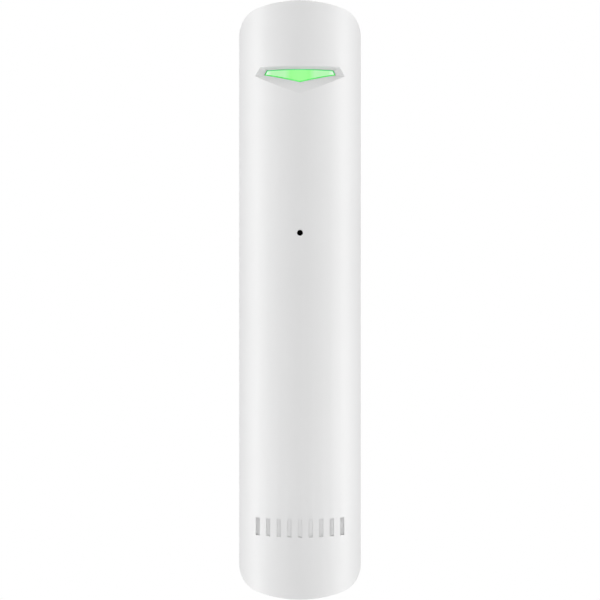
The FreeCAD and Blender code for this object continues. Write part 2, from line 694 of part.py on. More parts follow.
def front_cover():
    outer = stick("housing_form", "0", "0", REAR_Y)
    cavity = stick("housing_cavity", "shell_wall", "end_wall", f"{REAR_Y} + {BEYOND}")
    rebate = stick_outline("rear_rebate", "rim_wall", "rim_wall", PLATE_Y, f"{REAR_Y} + {BEYOND}")
    shell = cut("shell", outer, cavity, rebate)

    # thick wall around the window, cut to the housing's form
    frame = common(
        "window_frame",
        outer,
        block(
            "window_frame_block",
            ("-window_half - frame_margin", "window_half + frame_margin"),
            (f"-overall_depth - {BEYOND}", FRAME_Y),
            (
                "window_level - window_drop - bezel_tip - frame_margin / 2",
                "window_level + window_top + bezel_top + frame_margin / 2",
            ),
        ),
    )
    collar = common(
        "microphone_collar",
        outer,
        rod(
            "collar_rod",
            "capsule_diameter / 2 + gasket_wall + pin_play + collar_wall",
            "0",
            (f"-overall_depth - {BEYOND}", f"{INNER_CREST} + collar_length"),
            "sound_level",
        ),
    )
    bosses = [
        common(
            f"boss_{index}",
            outer,
            rod(
                f"boss_rod_{index}",
                "boss_radius",
                "0",
                (f"-overall_depth - {BEYOND}", WELL_Y),
                level,
            ),
        )
        for index, level in enumerate(("boss_low", "boss_high"), start=1)
    ]
    solid = fuse("front_cover_solid", shell, frame, collar, *bosses)

    window = prism("window_hole", "XZ_Plane", WINDOW_CORNERS, f"-overall_depth - {BEYOND}", AXIS_Y)
    sound_hole = rod(
        "sound_hole_rod",
        "sound_hole / 2",
        "0",
        (f"-overall_depth - {BEYOND}", f"{COLLAR_SEAT} + {BEYOND}"),
        "sound_level",
    )
    seat = rod(
        "gasket_seat",
        "capsule_diameter / 2 + gasket_wall + pin_play",
        "0",
        (COLLAR_SEAT, AXIS_Y),
        "sound_level",
    )
    pilots = [
        rod(
            f"pilot_{index}",
            "cover_screw_radius + thread_grip",
            "0",
            (f"{HEAD_Y} - cover_screw_length - 0.5", f"{WELL_Y} + {BEYOND}"),
            level,
        )
        for index, level in enumerate(("boss_low", "boss_high"), start=1)
    ]
    bay = rod(
        "cell_bay",
        "cell_diameter / 2 + cell_clearance",
        "0",
        AXIS_Y,
        ("cell_bottom - cell_clearance", "cell_top + cell_clearance"),
    )
    tongue_tip = f"{PLATE_Y} - snap_length - fit_clearance"
    barb_start = f"{PLATE_Y} - snap_length * 0.5 + fit_clearance"
    pockets = [
        block(
            f"snap_pocket_{index}",
            on_side(hand, f"{INNER_RADIUS} - snap_groove", f"{INNER_RADIUS} + snap_groove"),
            (tongue_tip, barb_start),
            around(level, "snap_width / 2 + fit_clearance"),
        )
        for index, (hand, level) in enumerate(snap_places(), start=1)
    ]
    cuts = [window, bezel_tool(), groove_tools(), sound_hole, seat, bay]
    return cut("front_cover", solid, *cuts, *pilots, *pockets)


def hook_places():
    return [(hand, level) for hand in (1, -1) for level in ("-hook_level", "hook_level")]


def rear_cover():
    inset = "rim_wall + fit_clearance"
    through = (f"{WELL_Y} - {BEYOND}", f"{REAR_Y} + {BEYOND}")
    plate = stick_outline("rear_plate", inset, inset, PLATE_Y, REAR_Y)
    screws, pins = board_places()
    posts = [
        rod(f"post_{index}", "post_radius", x, (BOARD_REAR, PLATE_Y), z)
        for index, (x, z) in enumerate(screws + pins, start=1)
    ]
    pegs = [
        rod(f"peg_{index}", "board_hole - pin_play", x, (BOARD_FRONT, BOARD_REAR), z)
        for index, (x, z) in enumerate(pins, start=1)
    ]
    levels = ("boss_low", "boss_high")
    wells = [
        rod(f"well_{index}", "well_radius", "0", (WELL_Y, PLATE_Y), level)
        for index, level in enumerate(levels, start=1)
    ]
    wall_y = ("-partition_front", PLATE_Y)
    wall_x = around("0", "partition_half")
    high_z = (CONTACT_HIGH, f"{CONTACT_HIGH} + partition_thickness")
    low_z = (f"{CONTACT_LOW} - partition_thickness", CONTACT_LOW)
    partitions = [
        block("partition_high", wall_x, wall_y, high_z),
        block("partition_low", wall_x, wall_y, low_z),
    ]
    cell_middle = "cell_bottom + cell_length / 2"
    cradles = [
        block(
            f"cradle_{index}",
            on_side(hand, "cradle_inner", "cradle_outer"),
            (f"{PLATE_Y} - cradle_thickness * 2", PLATE_Y),
            around(f"{cell_middle} {step} cradle_spacing / 2", "cradle_thickness / 2"),
        )
        for index, (hand, step) in enumerate(((1, "+"), (1, "-"), (-1, "+"), (-1, "-")), start=1)
    ]
    tongues = [
        prism(
            f"snap_tongue_{index}",
            "XY_Plane",
            snap_profile(hand),
            f"{level} - snap_width / 2",
            f"{level} + snap_width / 2",
        )
        for index, (hand, level) in enumerate(snap_places(), start=1)
    ]
    solid = fuse("rear_cover_solid", plate, *posts, *pegs, *wells, *partitions, *cradles, *tongues)

    bay = rod(
        "rear_cell_bay",
        "cell_diameter / 2 + cell_clearance",
        "0",
        AXIS_Y,
        ("cell_bottom - cell_clearance", "cell_top + cell_clearance"),
    )
    openings = [
        block("cell_opening", around("0", "cell_window / 2"), through, ("cell_bottom", "cell_top")),
        block(
            "terminal_opening",
            around("0", "terminal_half + access_margin"),
            through,
            ("terminal_bottom - access_margin", "terminal_bottom + terminal_height + access_margin"),
        ),
        rod("plunger_hole", "plunger_radius + button_play", "0", through, "tamper_level"),
        rod("button_hole", "button_radius + button_play", "0", through, "power_level"),
        block(
            "label_pocket",
            around("0", "label_half + fit_clearance"),
            (f"{REAR_Y} - label_recess", f"{REAR_Y} + {BEYOND}"),
            around("label_level", "label_height / 2 + fit_clearance"),
        ),
    ]
    slot_half = "(hook_width / 2 + button_play)"
    slots = [
        block(
            f"hook_slot_{index}",
            on_side(hand, f"hook_side - {slot_half}", f"hook_side + {slot_half}"),
            through,
            (f"{level} - release_travel - button_play", f"{level} + hook_stem + hang_clearance"),
        )
        for index, (hand, level) in enumerate(hook_places(), start=1)
    ]
    holes = []
    for index, level in enumerate(levels, start=1):
        head_y = (HEAD_Y, f"{REAR_Y} + {BEYOND}")
        holes.append(rod(f"head_hole_{index}", "cover_screw_head + screw_play", "0", head_y, level))
        holes.append(rod(f"shank_hole_{index}", "cover_screw_radius + screw_play", "0", through, level))
    for index, (x, z) in enumerate(screws, start=1):
        pilot_y = (f"{BOARD_REAR} - {BEYOND}", f"{BOARD_FRONT} + board_screw_length + screw_play")
        holes.append(rod(f"board_pilot_{index}", "board_screw_radius + thread_grip", x, pilot_y, z))
    return cut("rear_cover", solid, bay, *openings, *slots, *holes)


def mounting_bracket():
    plate = stick_outline("bracket_plate", "bracket_inset", "bracket_inset", "-bracket_thickness", "0")
    hooks = []
    for index, (hand, level) in enumerate(hook_places(), start=1):
        across = on_side(hand, "hook_side - hook_width / 2", "hook_side + hook_width / 2")
        top = f"{level} + hook_stem"
        hooks.append(block(f"hook_stem_{index}", across, (LIP_Y, "-bracket_thickness"), (level, top)))
        lip_y = (LIP_Y, f"{LIP_Y} + hook_thickness")
        hooks.append(block(f"hook_lip_{index}", across, lip_y, (level, f"{top} + hook_lip")))
    solid = fuse("bracket_solid", plate, *hooks)

    through = (f"-bracket_thickness - {BEYOND}", BEYOND)
    holes = []
    for index, level in enumerate(("-wall_hole_spacing / 2", "wall_hole_spacing / 2"), start=1):
        holes.append(rod(f"wall_hole_{index}", "wall_hole / 2", "0", through, level))
        sink_y = ("-bracket_thickness", "-bracket_thickness + (sink_diameter - wall_hole) / 2")
        holes.append(taper(f"sink_{index}", "sink_diameter / 2", "wall_hole / 2", "0", sink_y, level))
    holes.append(rod("tab_hole", "wall_hole / 2", "0", through, "tab_hole_level"))
    holes.append(rod("cable_opening", "cable_hole / 2", "0", through, "cable_level"))

    # the break-out tab stays on thin webs across a narrow gap
    moat = block(
        "tab_moat",
        around("0", "tab_half + perforation"),
        through,
        ("tab_bottom - perforation", "tab_top + perforation"),
    )
    kept = [block("tab_kept", around("0", "tab_half"), through, ("tab_bottom", "tab_top"))]
    web_y = ("-bridge_thickness", BEYOND)
    web_across = around("0", "tab_half + 2 * perforation")
    for index, share in enumerate((0.2, 0.8), start=1):
        middle = f"tab_bottom + (tab_top - tab_bottom) * {share}"
        kept.append(block(f"side_web_{index}", web_across, web_y, around(middle, "bridge_width / 2")))
    kept.append(
        block(
            "end_web",
            around("0", "bridge_width / 2"),
            web_y,
            ("tab_bottom - 2 * perforation", "tab_top + 2 * perforation"),
        )
    )
    return cut("mounting_bracket", solid, cut("tab_gap", moat, *kept), *holes)


def light_guide():
    # a clear head that fills the window up to a face concentric with the housing's, a flange
    # behind the thick wall and a stem that reaches for the indicator LED
    corners = [
        ("window_half - window_slant - 2 * guide_gap", "window_level + window_top - guide_gap"),
        ("window_half - 2 * guide_gap", "window_level"),
        ("0", "window_level - window_drop + 1.1 * guide_gap"),
        ("2 * guide_gap - window_half", "window_level"),
        ("window_slant + 2 * guide_gap - window_half", "window_level + window_top - guide_gap"),
    ]
    head = common(
        "guide_head",
        prism("guide_prism", "XZ_Plane", corners, f"-overall_depth - {BEYOND}", FRAME_Y),
        rod(
            "guide_round",
            "body_width / 2 - window_depth",
            "0",
            AXIS_Y,
            (f"window_level - window_drop - {BEYOND}", f"window_level + window_top + {BEYOND}"),
        ),
    )
    flange = block(
        "guide_flange_block",
        around("0", "guide_half"),
        (FRAME_Y, FLANGE_Y),
        ("window_level - window_drop - guide_overlap", "window_level + window_top + guide_overlap"),
    )
    stem = block(
        "guide_stem",
        around("0", "guide_stem_width / 2"),
        (FLANGE_Y, f"{BOARD_FRONT} - led_thickness - led_gap"),
        around(LIGHT_Z, "guide_stem_height / 2"),
    )
    return fuse("light_guide", head, flange, stem)


def status_led():
    foot = f"{BOARD_FRONT} - led_thickness * 0.8"
    across, up = around("0", "led_width / 2"), around(LIGHT_Z, "led_height / 2")
    body = block("led_body", across, (foot, BOARD_FRONT), up)
    lens = rod("led_lens", "led_height * 0.4", "0", (f"{BOARD_FRONT} - led_thickness", foot), LIGHT_Z)
    return fuse("status_led", body, lens)


def circuit_board():
    half = "board_half"
    inner = f"{half} - board_chamfer"
    corners = [
        (inner, "board_bottom"),
        (half, "board_bottom + board_chamfer"),
        (half, "board_top - board_chamfer"),
        (inner, "board_top"),
        (f"-({inner})", "board_top"),
        (f"-{half}", "board_top - board_chamfer"),
        (f"-{half}", "board_bottom + board_chamfer"),
        (f"-({inner})", "board_bottom"),
    ]
    sheet_solid = prism("board_sheet", "XZ_Plane", corners, BOARD_FRONT, BOARD_REAR)
    through = (f"{BOARD_FRONT} - {BEYOND}", f"{BOARD_REAR} + {BEYOND}")
    screws, pins = board_places()
    holes = [
        rod(f"board_hole_{index}", "board_hole", x, through, z)
        for index, (x, z) in enumerate(screws + pins, start=1)
    ]
    return cut("circuit_board", sheet_solid, *holes)


def microphone():
    can_y = (CAPSULE_Y, f"{CAPSULE_Y} + capsule_length")
    can = rod("capsule_can", "capsule_diameter / 2", "0", can_y, "sound_level")
    port_y = (f"{CAPSULE_Y} - {BEYOND}", f"{CAPSULE_Y} + capsule_port_depth")
    return cut("microphone", can, rod("capsule_port_hole", "capsule_port", "0", port_y, "sound_level"))


def microphone_gasket():
    front = f"({COLLAR_SEAT} + mesh_thickness)"
    rear = f"{front} + gasket_length"
    wall = "capsule_diameter / 2 + gasket_wall"
    bore_y = (CAPSULE_Y, f"{rear} + {BEYOND}")
    sleeve = rod("gasket_sleeve", wall, "0", (front, rear), "sound_level")
    bore = rod("gasket_bore", "capsule_diameter / 2", "0", bore_y, "sound_level")
    port = rod("gasket_port", "gasket_hole / 2", "0", (f"{front} - {BEYOND}", rear), "sound_level")
    return cut("microphone_gasket", sleeve, bore, port)


def acoustic_mesh():
    span = (COLLAR_SEAT, f"{COLLAR_SEAT} + mesh_thickness")
    return rod("acoustic_mesh", "capsule_diameter / 2 + gasket_wall", "0", span, "sound_level")


def microphone_lead(name, hand):
    x = f"{hand} * lead_pitch / 2"
    thin = "lead_diameter / 2"
    wire_y = (f"{CAPSULE_Y} + capsule_length", BOARD_FRONT)
    solder_y = (f"{BOARD_FRONT} - solder_height", BOARD_FRONT)
    wire = rod(name + "_wire", thin, x, wire_y, "sound_level")
    solder = taper(name + "_solder", thin, "solder_radius", x, solder_y, "sound_level")
    return fuse(name, wire, solder)


def radio_shield():
    outer_z = ("shield_bottom", "shield_bottom + shield_height")
    inner_z = ("shield_bottom + shield_wall", "shield_bottom + shield_height - shield_wall")
    front = f"({BOARD_FRONT} - shield_thickness)"
    can = block("shield_can", around("0", "shield_half"), (front, BOARD_FRONT), outer_z)
    room_y = (f"{front} + shield_wall", f"{BOARD_FRONT} + {BEYOND}")
    room = block("shield_room", around("0", "shield_half - shield_wall"), room_y, inner_z)
    vents = []
    for row in (-1, 0, 1):
        for column in (-1, 0, 1):
            x = f"{column} * shield_vent_pitch"
            z = f"shield_bottom + shield_height / 2 + {row} * shield_vent_pitch"
            vent_y = (f"{front} - {BEYOND}", f"{front} + {BEYOND}")
            vents.append(rod(f"vent_{row + 2}_{column + 2}", "shield_vent", x, vent_y, z))
    return cut("radio_shield", can, room, *vents)


def processor_chip():
    face_y = f"{BOARD_REAR} + chip_thickness"
    body_y = (f"{BOARD_REAR} + chip_pin_pitch / 5", face_y)
    half = "chip_size / 2"
    body = block("chip_body", around("0", half), body_y, around("chip_level", half))
    pins = []
    count = round(number("chip_pins"))
    pin_y = (BOARD_REAR, f"{BOARD_REAR} + chip_thickness / 3")
    for index in range(count):
        step = f"chip_pin_pitch * {index - (count - 1) / 2}"
        pin = around(step, "chip_pin_pitch / 4")
        level = around(f"chip_level + {step}", "chip_pin_pitch / 4")
        reach = "chip_size / 2 + chip_pin_reach"
        pins.append(block(f"chip_pins_up_{index + 1}", pin, pin_y, around("chip_level", reach)))
        pins.append(block(f"chip_pins_across_{index + 1}", around("0", reach), pin_y, level))
    return fuse("processor_chip", body, *pins)


def crystal():
    x = "-side_part_offset"
    step = f"{BOARD_FRONT} - crystal_thickness / 3"
    can_y = (f"{BOARD_FRONT} - crystal_thickness", step)
    foot = block(
        "crystal_foot",
        around(x, "crystal_width / 2"),
        (step, BOARD_FRONT),
        around("side_part_level", "crystal_height / 2"),
    )
    can = block(
        "crystal_can",
        around(x, "crystal_width * 0.45"),
        can_y,
        around("side_part_level", "crystal_height * 0.44"),
    )
    return fuse("crystal", foot, can)


def capacitor():
    foot_y = (f"{BOARD_FRONT} - capacitor_base", BOARD_FRONT)
    foot = block(
        "capacitor_foot",
        around("side_part_offset", "capacitor_radius"),
        foot_y,
        around("side_part_level", "capacitor_radius"),
    )
    can_y = (f"{BOARD_FRONT} - capacitor_length", f"{BOARD_FRONT} - capacitor_base")
    can = rod("capacitor_can", "capacitor_radius * 0.95", "side_part_offset", can_y, "side_part_level")
    return fuse("capacitor", foot, can)


def coil(name, radius, wire, pitch, length, turn):
    # a round wire wound along its own Z from the origin, starting on its own +X
    helix = doc.addObject("Part::Helix", name + "_path")
    helix.SegmentLength = 1  # one edge for each turn
    bind(helix, Radius=radius, Pitch=pitch, Height=length)
    section = doc.addObject("Part::Circle", name + "_section")
    section.Placement = FreeCAD.Placement(FreeCAD.Vector(), TURN["y"])
    bind(section, Radius=f"({wire}) / 2")
    section.setExpression("Placement.Base.x", bound(radius))
    doc.recompute()
    swept = doc.addObject("Part::Sweep", name)
    swept.Sections = [section]
    swept.Spine = (helix, [f"Edge{index + 1}" for index in range(len(helix.Shape.Edges))])
    swept.Solid = True
    swept.Frenet = True
    swept.Placement = FreeCAD.Placement(FreeCAD.Vector(), turn)
    return swept


def antenna():
    axis_y = f"({BOARD_FRONT} - antenna_standoff)"
    start_x = "-antenna_length / 2"
    # this turn takes the coil's own X to Y and its own Z to X
    winding = coil(
        "antenna_coil",
        "antenna_radius",
        "antenna_wire",
        "antenna_pitch",
        "antenna_length",
        FreeCAD.Rotation(FreeCAD.Vector(1, 1, 1), 120),
    )
    place(winding, start_x, axis_y, "antenna_level")
    legs = []
    for index, x in enumerate((start_x, "antenna_length / 2"), start=1):
        knee_y = f"{axis_y} + antenna_radius"
        leg_y = (knee_y, BOARD_FRONT)
        legs.append(rod(f"antenna_leg_{index}", "antenna_wire / 2", x, leg_y, "antenna_level"))
        knee = bind(doc.addObject("Part::Sphere", f"antenna_knee_{index}"), Radius="antenna_wire * 0.6")
        legs.append(place(knee, x, knee_y, "antenna_level"))
    return fuse("antenna", winding, *legs)


def tamper_switch():
    body = block(
        "tamper_body_block",
        around("0", "tamper_body / 2"),
        (BOARD_REAR, SWITCH_Y),
        around("tamper_level", "tamper_body / 2"),
    )
    room_y = (f"{SWITCH_Y} - plunger_pin_depth - plunger_travel - pin_play", f"{SWITCH_Y} + {BEYOND}")
    room = rod("tamper_pin_room", "plunger_pin + pin_play", "0", room_y, "tamper_level")
    return cut("tamper_switch", body, room)


def tamper_plunger():
    flange_front = f"({SWITCH_Y} + spring_length)"
    flange_rear = f"({flange_front} + plunger_flange_thickness)"
    shaft_y = (flange_rear, "-bracket_thickness")
    pin_y = (f"{SWITCH_Y} - plunger_pin_depth", flange_front)
    shaft = rod("plunger_shaft", "plunger_radius", "0", shaft_y, "tamper_level")
    collar = rod("plunger_collar", "plunger_flange", "0", (flange_front, flange_rear), "tamper_level")
    pin = rod("plunger_tip", "plunger_pin", "0", pin_y, "tamper_level")
    return fuse("tamper_plunger", shaft, collar, pin)


def tamper_spring():
    # wound so that its wire just touches the switch and the plunger's flange
    spring = coil(
        "tamper_spring",
        "spring_radius",
        "spring_wire",
        "(spring_length - spring_wire) / spring_turns",
        "spring_length - spring_wire",
        TURN["y"],
    )
    return place(spring, "0", f"{SWITCH_Y} + spring_wire / 2", "tamper_level")


def power_switch():
    face = f"({BOARD_REAR} + power_thickness)"
    body = block(
        "power_body_block",
        around("0", "power_body / 2"),
        (BOARD_REAR, face),
        around("power_level", "power_body / 2"),
    )
    room_y = (f"{face} - button_pin_depth - button_travel - pin_play", f"{face} + {BEYOND}")
    room = rod("power_pin_room", "button_pin + pin_play", "0", room_y, "power_level")
    return cut("power_switch", body, room)


def power_button():
    face = f"({BOARD_REAR} + power_thickness)"
    flange_rear = f"({PLATE_Y} - button_flange_gap)"
    flange_front = f"({flange_rear} - button_flange_thickness)"
    cap_y = (flange_rear, f"{REAR_Y} - button_recess")
    pin_y = (f"{face} - button_pin_depth", flange_front)
    cap = rod("button_cap", "button_radius", "0", cap_y, "power_level")
    collar = rod("button_collar", "button_flange", "0", (flange_front, flange_rear), "power_level")
    pin = rod("button_tip", "button_pin", "0", pin_y, "power_level")
    return fuse("power_button", cap, collar, pin)


def terminal_block():
    face = f"({BOARD_REAR} + terminal_thickness)"
    middle = "terminal_bottom + terminal_height / 2"
    body = block(
        "terminal_body",
        around("0", "terminal_half"),
        (BOARD_REAR, face),
        ("terminal_bottom", "terminal_bottom + terminal_height"),
    )
    holes = []
    for index, hand in enumerate((-1, 1), start=1):
        x = f"{hand} * terminal_pitch / 2"
        well_y = (f"{face} - terminal_recess - terminal_screw_length", f"{face} + {BEYOND}")
        holes.append(rod(f"terminal_well_{index}", "terminal_screw + thread_grip", x, well_y, middle))
        entry_z = (f"terminal_bottom - {BEYOND}", middle)
        entry_y = f"{BOARD_REAR} + terminal_wire_level"
        holes.append(rod(f"wire_entry_{index}", "terminal_wire_hole", x, entry_y, entry_z))
    return cut("terminal_block", body, *holes)


def terminal_screw(name, hand):
    x = f"{hand} * terminal_pitch / 2"
    middle = "terminal_bottom + terminal_height / 2"
    top = f"({BOARD_REAR} + terminal_thickness - terminal_recess)"
    shank = rod(name + "_shank", "terminal_screw", x, (f"{top} - terminal_screw_length", top), middle)
    slot = block(
        name + "_slot",
        around(x, "terminal_screw + screw_play"),
        (f"{top} - screw_slot", f"{top} + {BEYOND}"),
        around(middle, "screw_slot / 2"),
    )
    return cut(name, shank, slot)


def battery():
    # a lithium cell on end, its nub up: the can's rims are rolled over
    roll = "cell_diameter / 24"
    radius = "cell_diameter / 2"
    rim = f"{radius} - {roll}"
    can_top = f"(cell_top - nub_height)"
    low, high = f"cell_bottom + {roll}", f"{can_top} - {roll}"
    return fuse(
        "battery",
        taper("cell_rim_low", rim, radius, "0", AXIS_Y, ("cell_bottom", low)),
        rod("cell_can", radius, "0", AXIS_Y, (low, high)),
        taper("cell_rim_high", radius, rim, "0", AXIS_Y, (high, can_top)),
        rod("cell_nub", "nub_diameter / 2", "0", AXIS_Y, (can_top, "cell_top")),
    )


def battery_contact_positive():
    # a plate on the nub, and a tail that runs up to the board's back face
    plate_z = ("cell_top", CONTACT_HIGH)
    plate_y = around(AXIS_Y, "contact_reach / 2")
    tail_x = ("-tail_inner - tail_width", "-tail_inner")
    tail_y = (BOARD_REAR, f"{BOARD_REAR} + contact_thickness")
    arm_low = f"min({tail_y[1]}; {plate_y[1]}) - contact_arm"
    return fuse(
        "battery_contact_positive",
        block("positive_plate", around("0", "contact_width / 2"), plate_y, plate_z),
        block("positive_arm", (tail_x[0], "0"), (arm_low, tail_y[1]), plate_z),
        block("positive_tail", tail_x, tail_y, ("cell_top", "board_bottom + tail_lap")),
    )


def battery_contact_negative():
    # a plate with a bent tongue that presses on the cell's flat end, and an arm to the wire
    plate_z = (CONTACT_LOW, f"{CONTACT_LOW} + contact_thickness")
    plate_y = around(AXIS_Y, "contact_reach / 2")
    tongue_low = f"({AXIS_Y} - contact_reach / 2)"
    tongue = [
        (tongue_low, plate_z[0]),
        (f"{AXIS_Y} + tongue_land", "cell_bottom - contact_thickness"),
        (f"{AXIS_Y} + tongue_land", "cell_bottom"),
        (AXIS_Y, "cell_bottom"),
        (tongue_low, plate_z[1]),
    ]
    tongue_solid = prism("negative_tongue", "YZ_Plane", tongue, "-tongue_half", "tongue_half")
    arm_x = ("0", "wire_side + wire_diameter / 2")
    arm_y = (f"{plate_y[1]} - contact_arm", plate_y[1])
    riser_x = around("wire_side", "wire_diameter / 2")
    riser_y = (f"{plate_y[1]} - contact_arm", "-wire_depth + wire_diameter / 2")
    return fuse(
        "battery_contact_negative",
        block("negative_plate", around("0", "contact_width / 2"), plate_y, plate_z),
        block("negative_arm", arm_x, arm_y, plate_z),
        block("negative_riser", riser_x, riser_y, plate_z),
        tongue_solid,
    )


def negative_wire():
    # up the side of the cell, then forward to the board's back face
    low_z = f"{CONTACT_LOW} + contact_thickness"
    bend_z = "(wire_top - wire_bend)"
    bend = bind(
        doc.addObject("Part::Torus", "wire_bend_ring"),
        Radius1="wire_bend",
        Radius2="wire_diameter / 2",
    )
    bend.Angle3 = 90
    # the ring's own X points back and its own Y up, so that its quarter joins the two lengths
    bend.Placement = FreeCAD.Placement(FreeCAD.Vector(), FreeCAD.Rotation(FreeCAD.Vector(1, 1, 1), 120))
    place(bend, "wire_side", "-wire_depth - wire_bend", bend_z)
    rise = rod("wire_rise", "wire_diameter / 2", "wire_side", "-wire_depth", (low_z, bend_z))
    end_y = (BOARD_REAR, "-wire_depth - wire_bend")
    end = rod("wire_end", "wire_diameter / 2", "wire_side", end_y, "wire_top")
    return fuse("negative_wire", rise, bend, end)


def screw(name, place_xz, seat, toward, shank_radius, length, head_radius):
    # a pan-head screw whose head sits at seat and whose shank runs towards +Y (1) or -Y (-1)
    x, z = place_xz
    if toward > 0:
        shank_y = (seat, f"{seat} + {length}")
        head_y = (f"{seat} - screw_head_height", seat)
        slot_y = (f"{head_y[0]} - {BEYOND}", f"{head_y[0]} + screw_slot")
    else:
        shank_y = (f"{seat} - {length}", seat)
        head_y = (seat, f"{seat} + screw_head_height")
        slot_y = (f"{head_y[1]} - screw_slot", f"{head_y[1]} + {BEYOND}")
    solid = fuse(
        name + "_solid",
        rod(name + "_shank", shank_radius, x, shank_y, z),
        rod(name + "_head", head_radius, x, head_y, z),
    )
    reach = f"{head_radius} * 0.65"
    cross = [
        block(name + "_slot_across", around(x, reach), slot_y, around(z, "screw_slot / 2")),
        block(name + "_slot_up", around(x, "screw_slot / 2"), slot_y, around(z, reach)),
    ]
    return cut(name, solid, *cross)


def board_screw(name, spot):
    sizes = ("board_screw_radius", "board_screw_length", "board_screw_head")
    return screw(name, spot, BOARD_FRONT, 1, *sizes)


def cover_screw(name, level):
    sizes = ("cover_screw_radius", "cover_screw_length", "cover_screw_head")
    return screw(name, ("0", level), HEAD_Y, -1, *sizes)


def identity_label():
    floor = f"{REAR_Y} - label_recess"
    return block(
        "identity_label",
        around("0", "label_half"),
        (floor, f"{floor} + label_thickness"),
        around("label_level", "label_height / 2"),
    )


screw_spots = board_places()[0]
pieces = [
    front_cover(),
    rear_cover(),
    mounting_bracket(),
    light_guide(),
    status_led(),
    circuit_board(),
    microphone(),
    microphone_gasket(),
    acoustic_mesh(),
    microphone_lead("microphone_lead_left", -1),
    microphone_lead("microphone_lead_right", 1),
    radio_shield(),
    processor_chip(),
    crystal(),
    capacitor(),
    antenna(),
    tamper_switch(),
    tamper_plunger(),
    tamper_spring(),
    power_switch(),
    power_button(),
    terminal_block(),
    terminal_screw("terminal_screw_left", -1),
    terminal_screw("terminal_screw_right", 1),
    battery(),
    battery_contact_positive(),
    battery_contact_negative(),
    negative_wire(),
    board_screw("board_screw_low", screw_spots[0]),
    board_screw("board_screw_high", screw_spots[1]),
    cover_screw("cover_screw_low", "boss_low"),
    cover_screw("cover_screw_high", "boss_high"),
    identity_label(),
]
doc.recompute()

for item in doc.Objects:
    for state in item.State:
        if state in ("Invalid", "Error"):
            raise ValueError(f"{item.Name} is {state}")

os.makedirs("parts", exist_ok=True)
for piece in pieces:
    name = piece.Name
    piece.Label = name
    shape = piece.Shape
    if shape.isNull() or not shape.isValid() or len(shape.Solids) != 1:
        raise ValueError(f"{name} is not one valid solid")
    shape.exportStep(f"parts/{name}.step")
    box = shape.BoundBox
    print(f"{name}: {box.XLength:.1f} x {box.YLength:.1f} x {box.ZLength:.1f}, {shape.Volume:.1f} mm3")
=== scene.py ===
# Glass break sensor: the finish of every piece, the studio and the camera.
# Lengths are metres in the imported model's own frame: X across the front, -Y towards the room,
# Z up, and the wall is the plane Y = 0. Sizes in the dictionaries are millimetres, except in
# the ones for the floor, the studio and the camera, which have metres.
import math

import bpy
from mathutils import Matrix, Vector


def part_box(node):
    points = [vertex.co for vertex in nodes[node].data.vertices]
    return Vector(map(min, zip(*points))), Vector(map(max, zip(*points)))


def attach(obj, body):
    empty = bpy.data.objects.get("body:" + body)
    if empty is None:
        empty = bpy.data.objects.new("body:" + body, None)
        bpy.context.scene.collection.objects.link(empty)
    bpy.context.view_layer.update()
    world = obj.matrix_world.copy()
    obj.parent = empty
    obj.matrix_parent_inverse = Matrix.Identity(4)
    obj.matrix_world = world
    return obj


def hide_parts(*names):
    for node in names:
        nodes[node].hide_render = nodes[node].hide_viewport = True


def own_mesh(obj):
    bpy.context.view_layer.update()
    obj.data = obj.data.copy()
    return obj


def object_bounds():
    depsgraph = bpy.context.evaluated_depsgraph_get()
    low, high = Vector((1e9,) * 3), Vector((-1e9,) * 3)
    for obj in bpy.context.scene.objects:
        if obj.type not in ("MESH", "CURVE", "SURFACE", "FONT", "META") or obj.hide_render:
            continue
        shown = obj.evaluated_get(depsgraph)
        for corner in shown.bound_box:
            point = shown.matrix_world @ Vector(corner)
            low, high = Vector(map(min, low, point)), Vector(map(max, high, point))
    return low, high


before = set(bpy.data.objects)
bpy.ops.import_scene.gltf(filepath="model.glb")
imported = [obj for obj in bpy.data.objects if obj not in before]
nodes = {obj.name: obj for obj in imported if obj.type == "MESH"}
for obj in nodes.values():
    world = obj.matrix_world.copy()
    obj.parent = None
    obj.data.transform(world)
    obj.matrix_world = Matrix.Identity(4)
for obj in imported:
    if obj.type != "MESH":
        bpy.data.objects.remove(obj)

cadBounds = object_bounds()
mm = 0.001


# Shared helpers


def linear(hexColour):
    # an sRGB hex colour as the linear colour that shaders take
    parts = [int(hexColour[i : i + 2], 16) / 255 for i in (0, 2, 4)]
    return [p / 12.92 if p <= 0.04045 else ((p + 0.055) / 1.055) ** 2.4 for p in parts] + [1.0]


def addNode(tree, kind, settings=None, links=None, out=0):
    # settings are the node's fields or unlinked inputs, links are the outputs that feed its
    # other inputs, and out picks the output that is handed back
    node = tree.nodes.new(kind)
    for name, value in (settings or {}).items():
        if isinstance(name, str) and hasattr(node, name):
            setattr(node, name, value)
        else:
            node.inputs[name].default_value = value
    for name, output in (links or {}).items():
        tree.links.new(output, node.inputs[name])
    return node.outputs[out] if node.outputs else None


def newMaterial(name, shaderValues):
    # a shader with its even values on its own sockets, and the spot on the piece in millimetres
    material = bpy.data.materials.new(name)
    material.use_nodes = True
    tree = material.node_tree
    tree.nodes.clear()
    surface = addNode(tree, "ShaderNodeBsdfPrincipled", shaderValues)
    addNode(tree, "ShaderNodeOutputMaterial", links={"Surface": surface})
    metres = addNode(tree, "ShaderNodeTexCoord", out="Object")
    larger = {"operation": "SCALE", "Scale": 1 / mm}
    spot = addNode(tree, "ShaderNodeVectorMath", larger, {0: metres})
    return material, tree, surface.node, spot


driftSpan = (0.35, 0.65)  # part of the wide noise that is spread over a finish's two colours
grainSpan = (0.3, 0.7)  # part of the fine noise that is spread over its two roughnesses


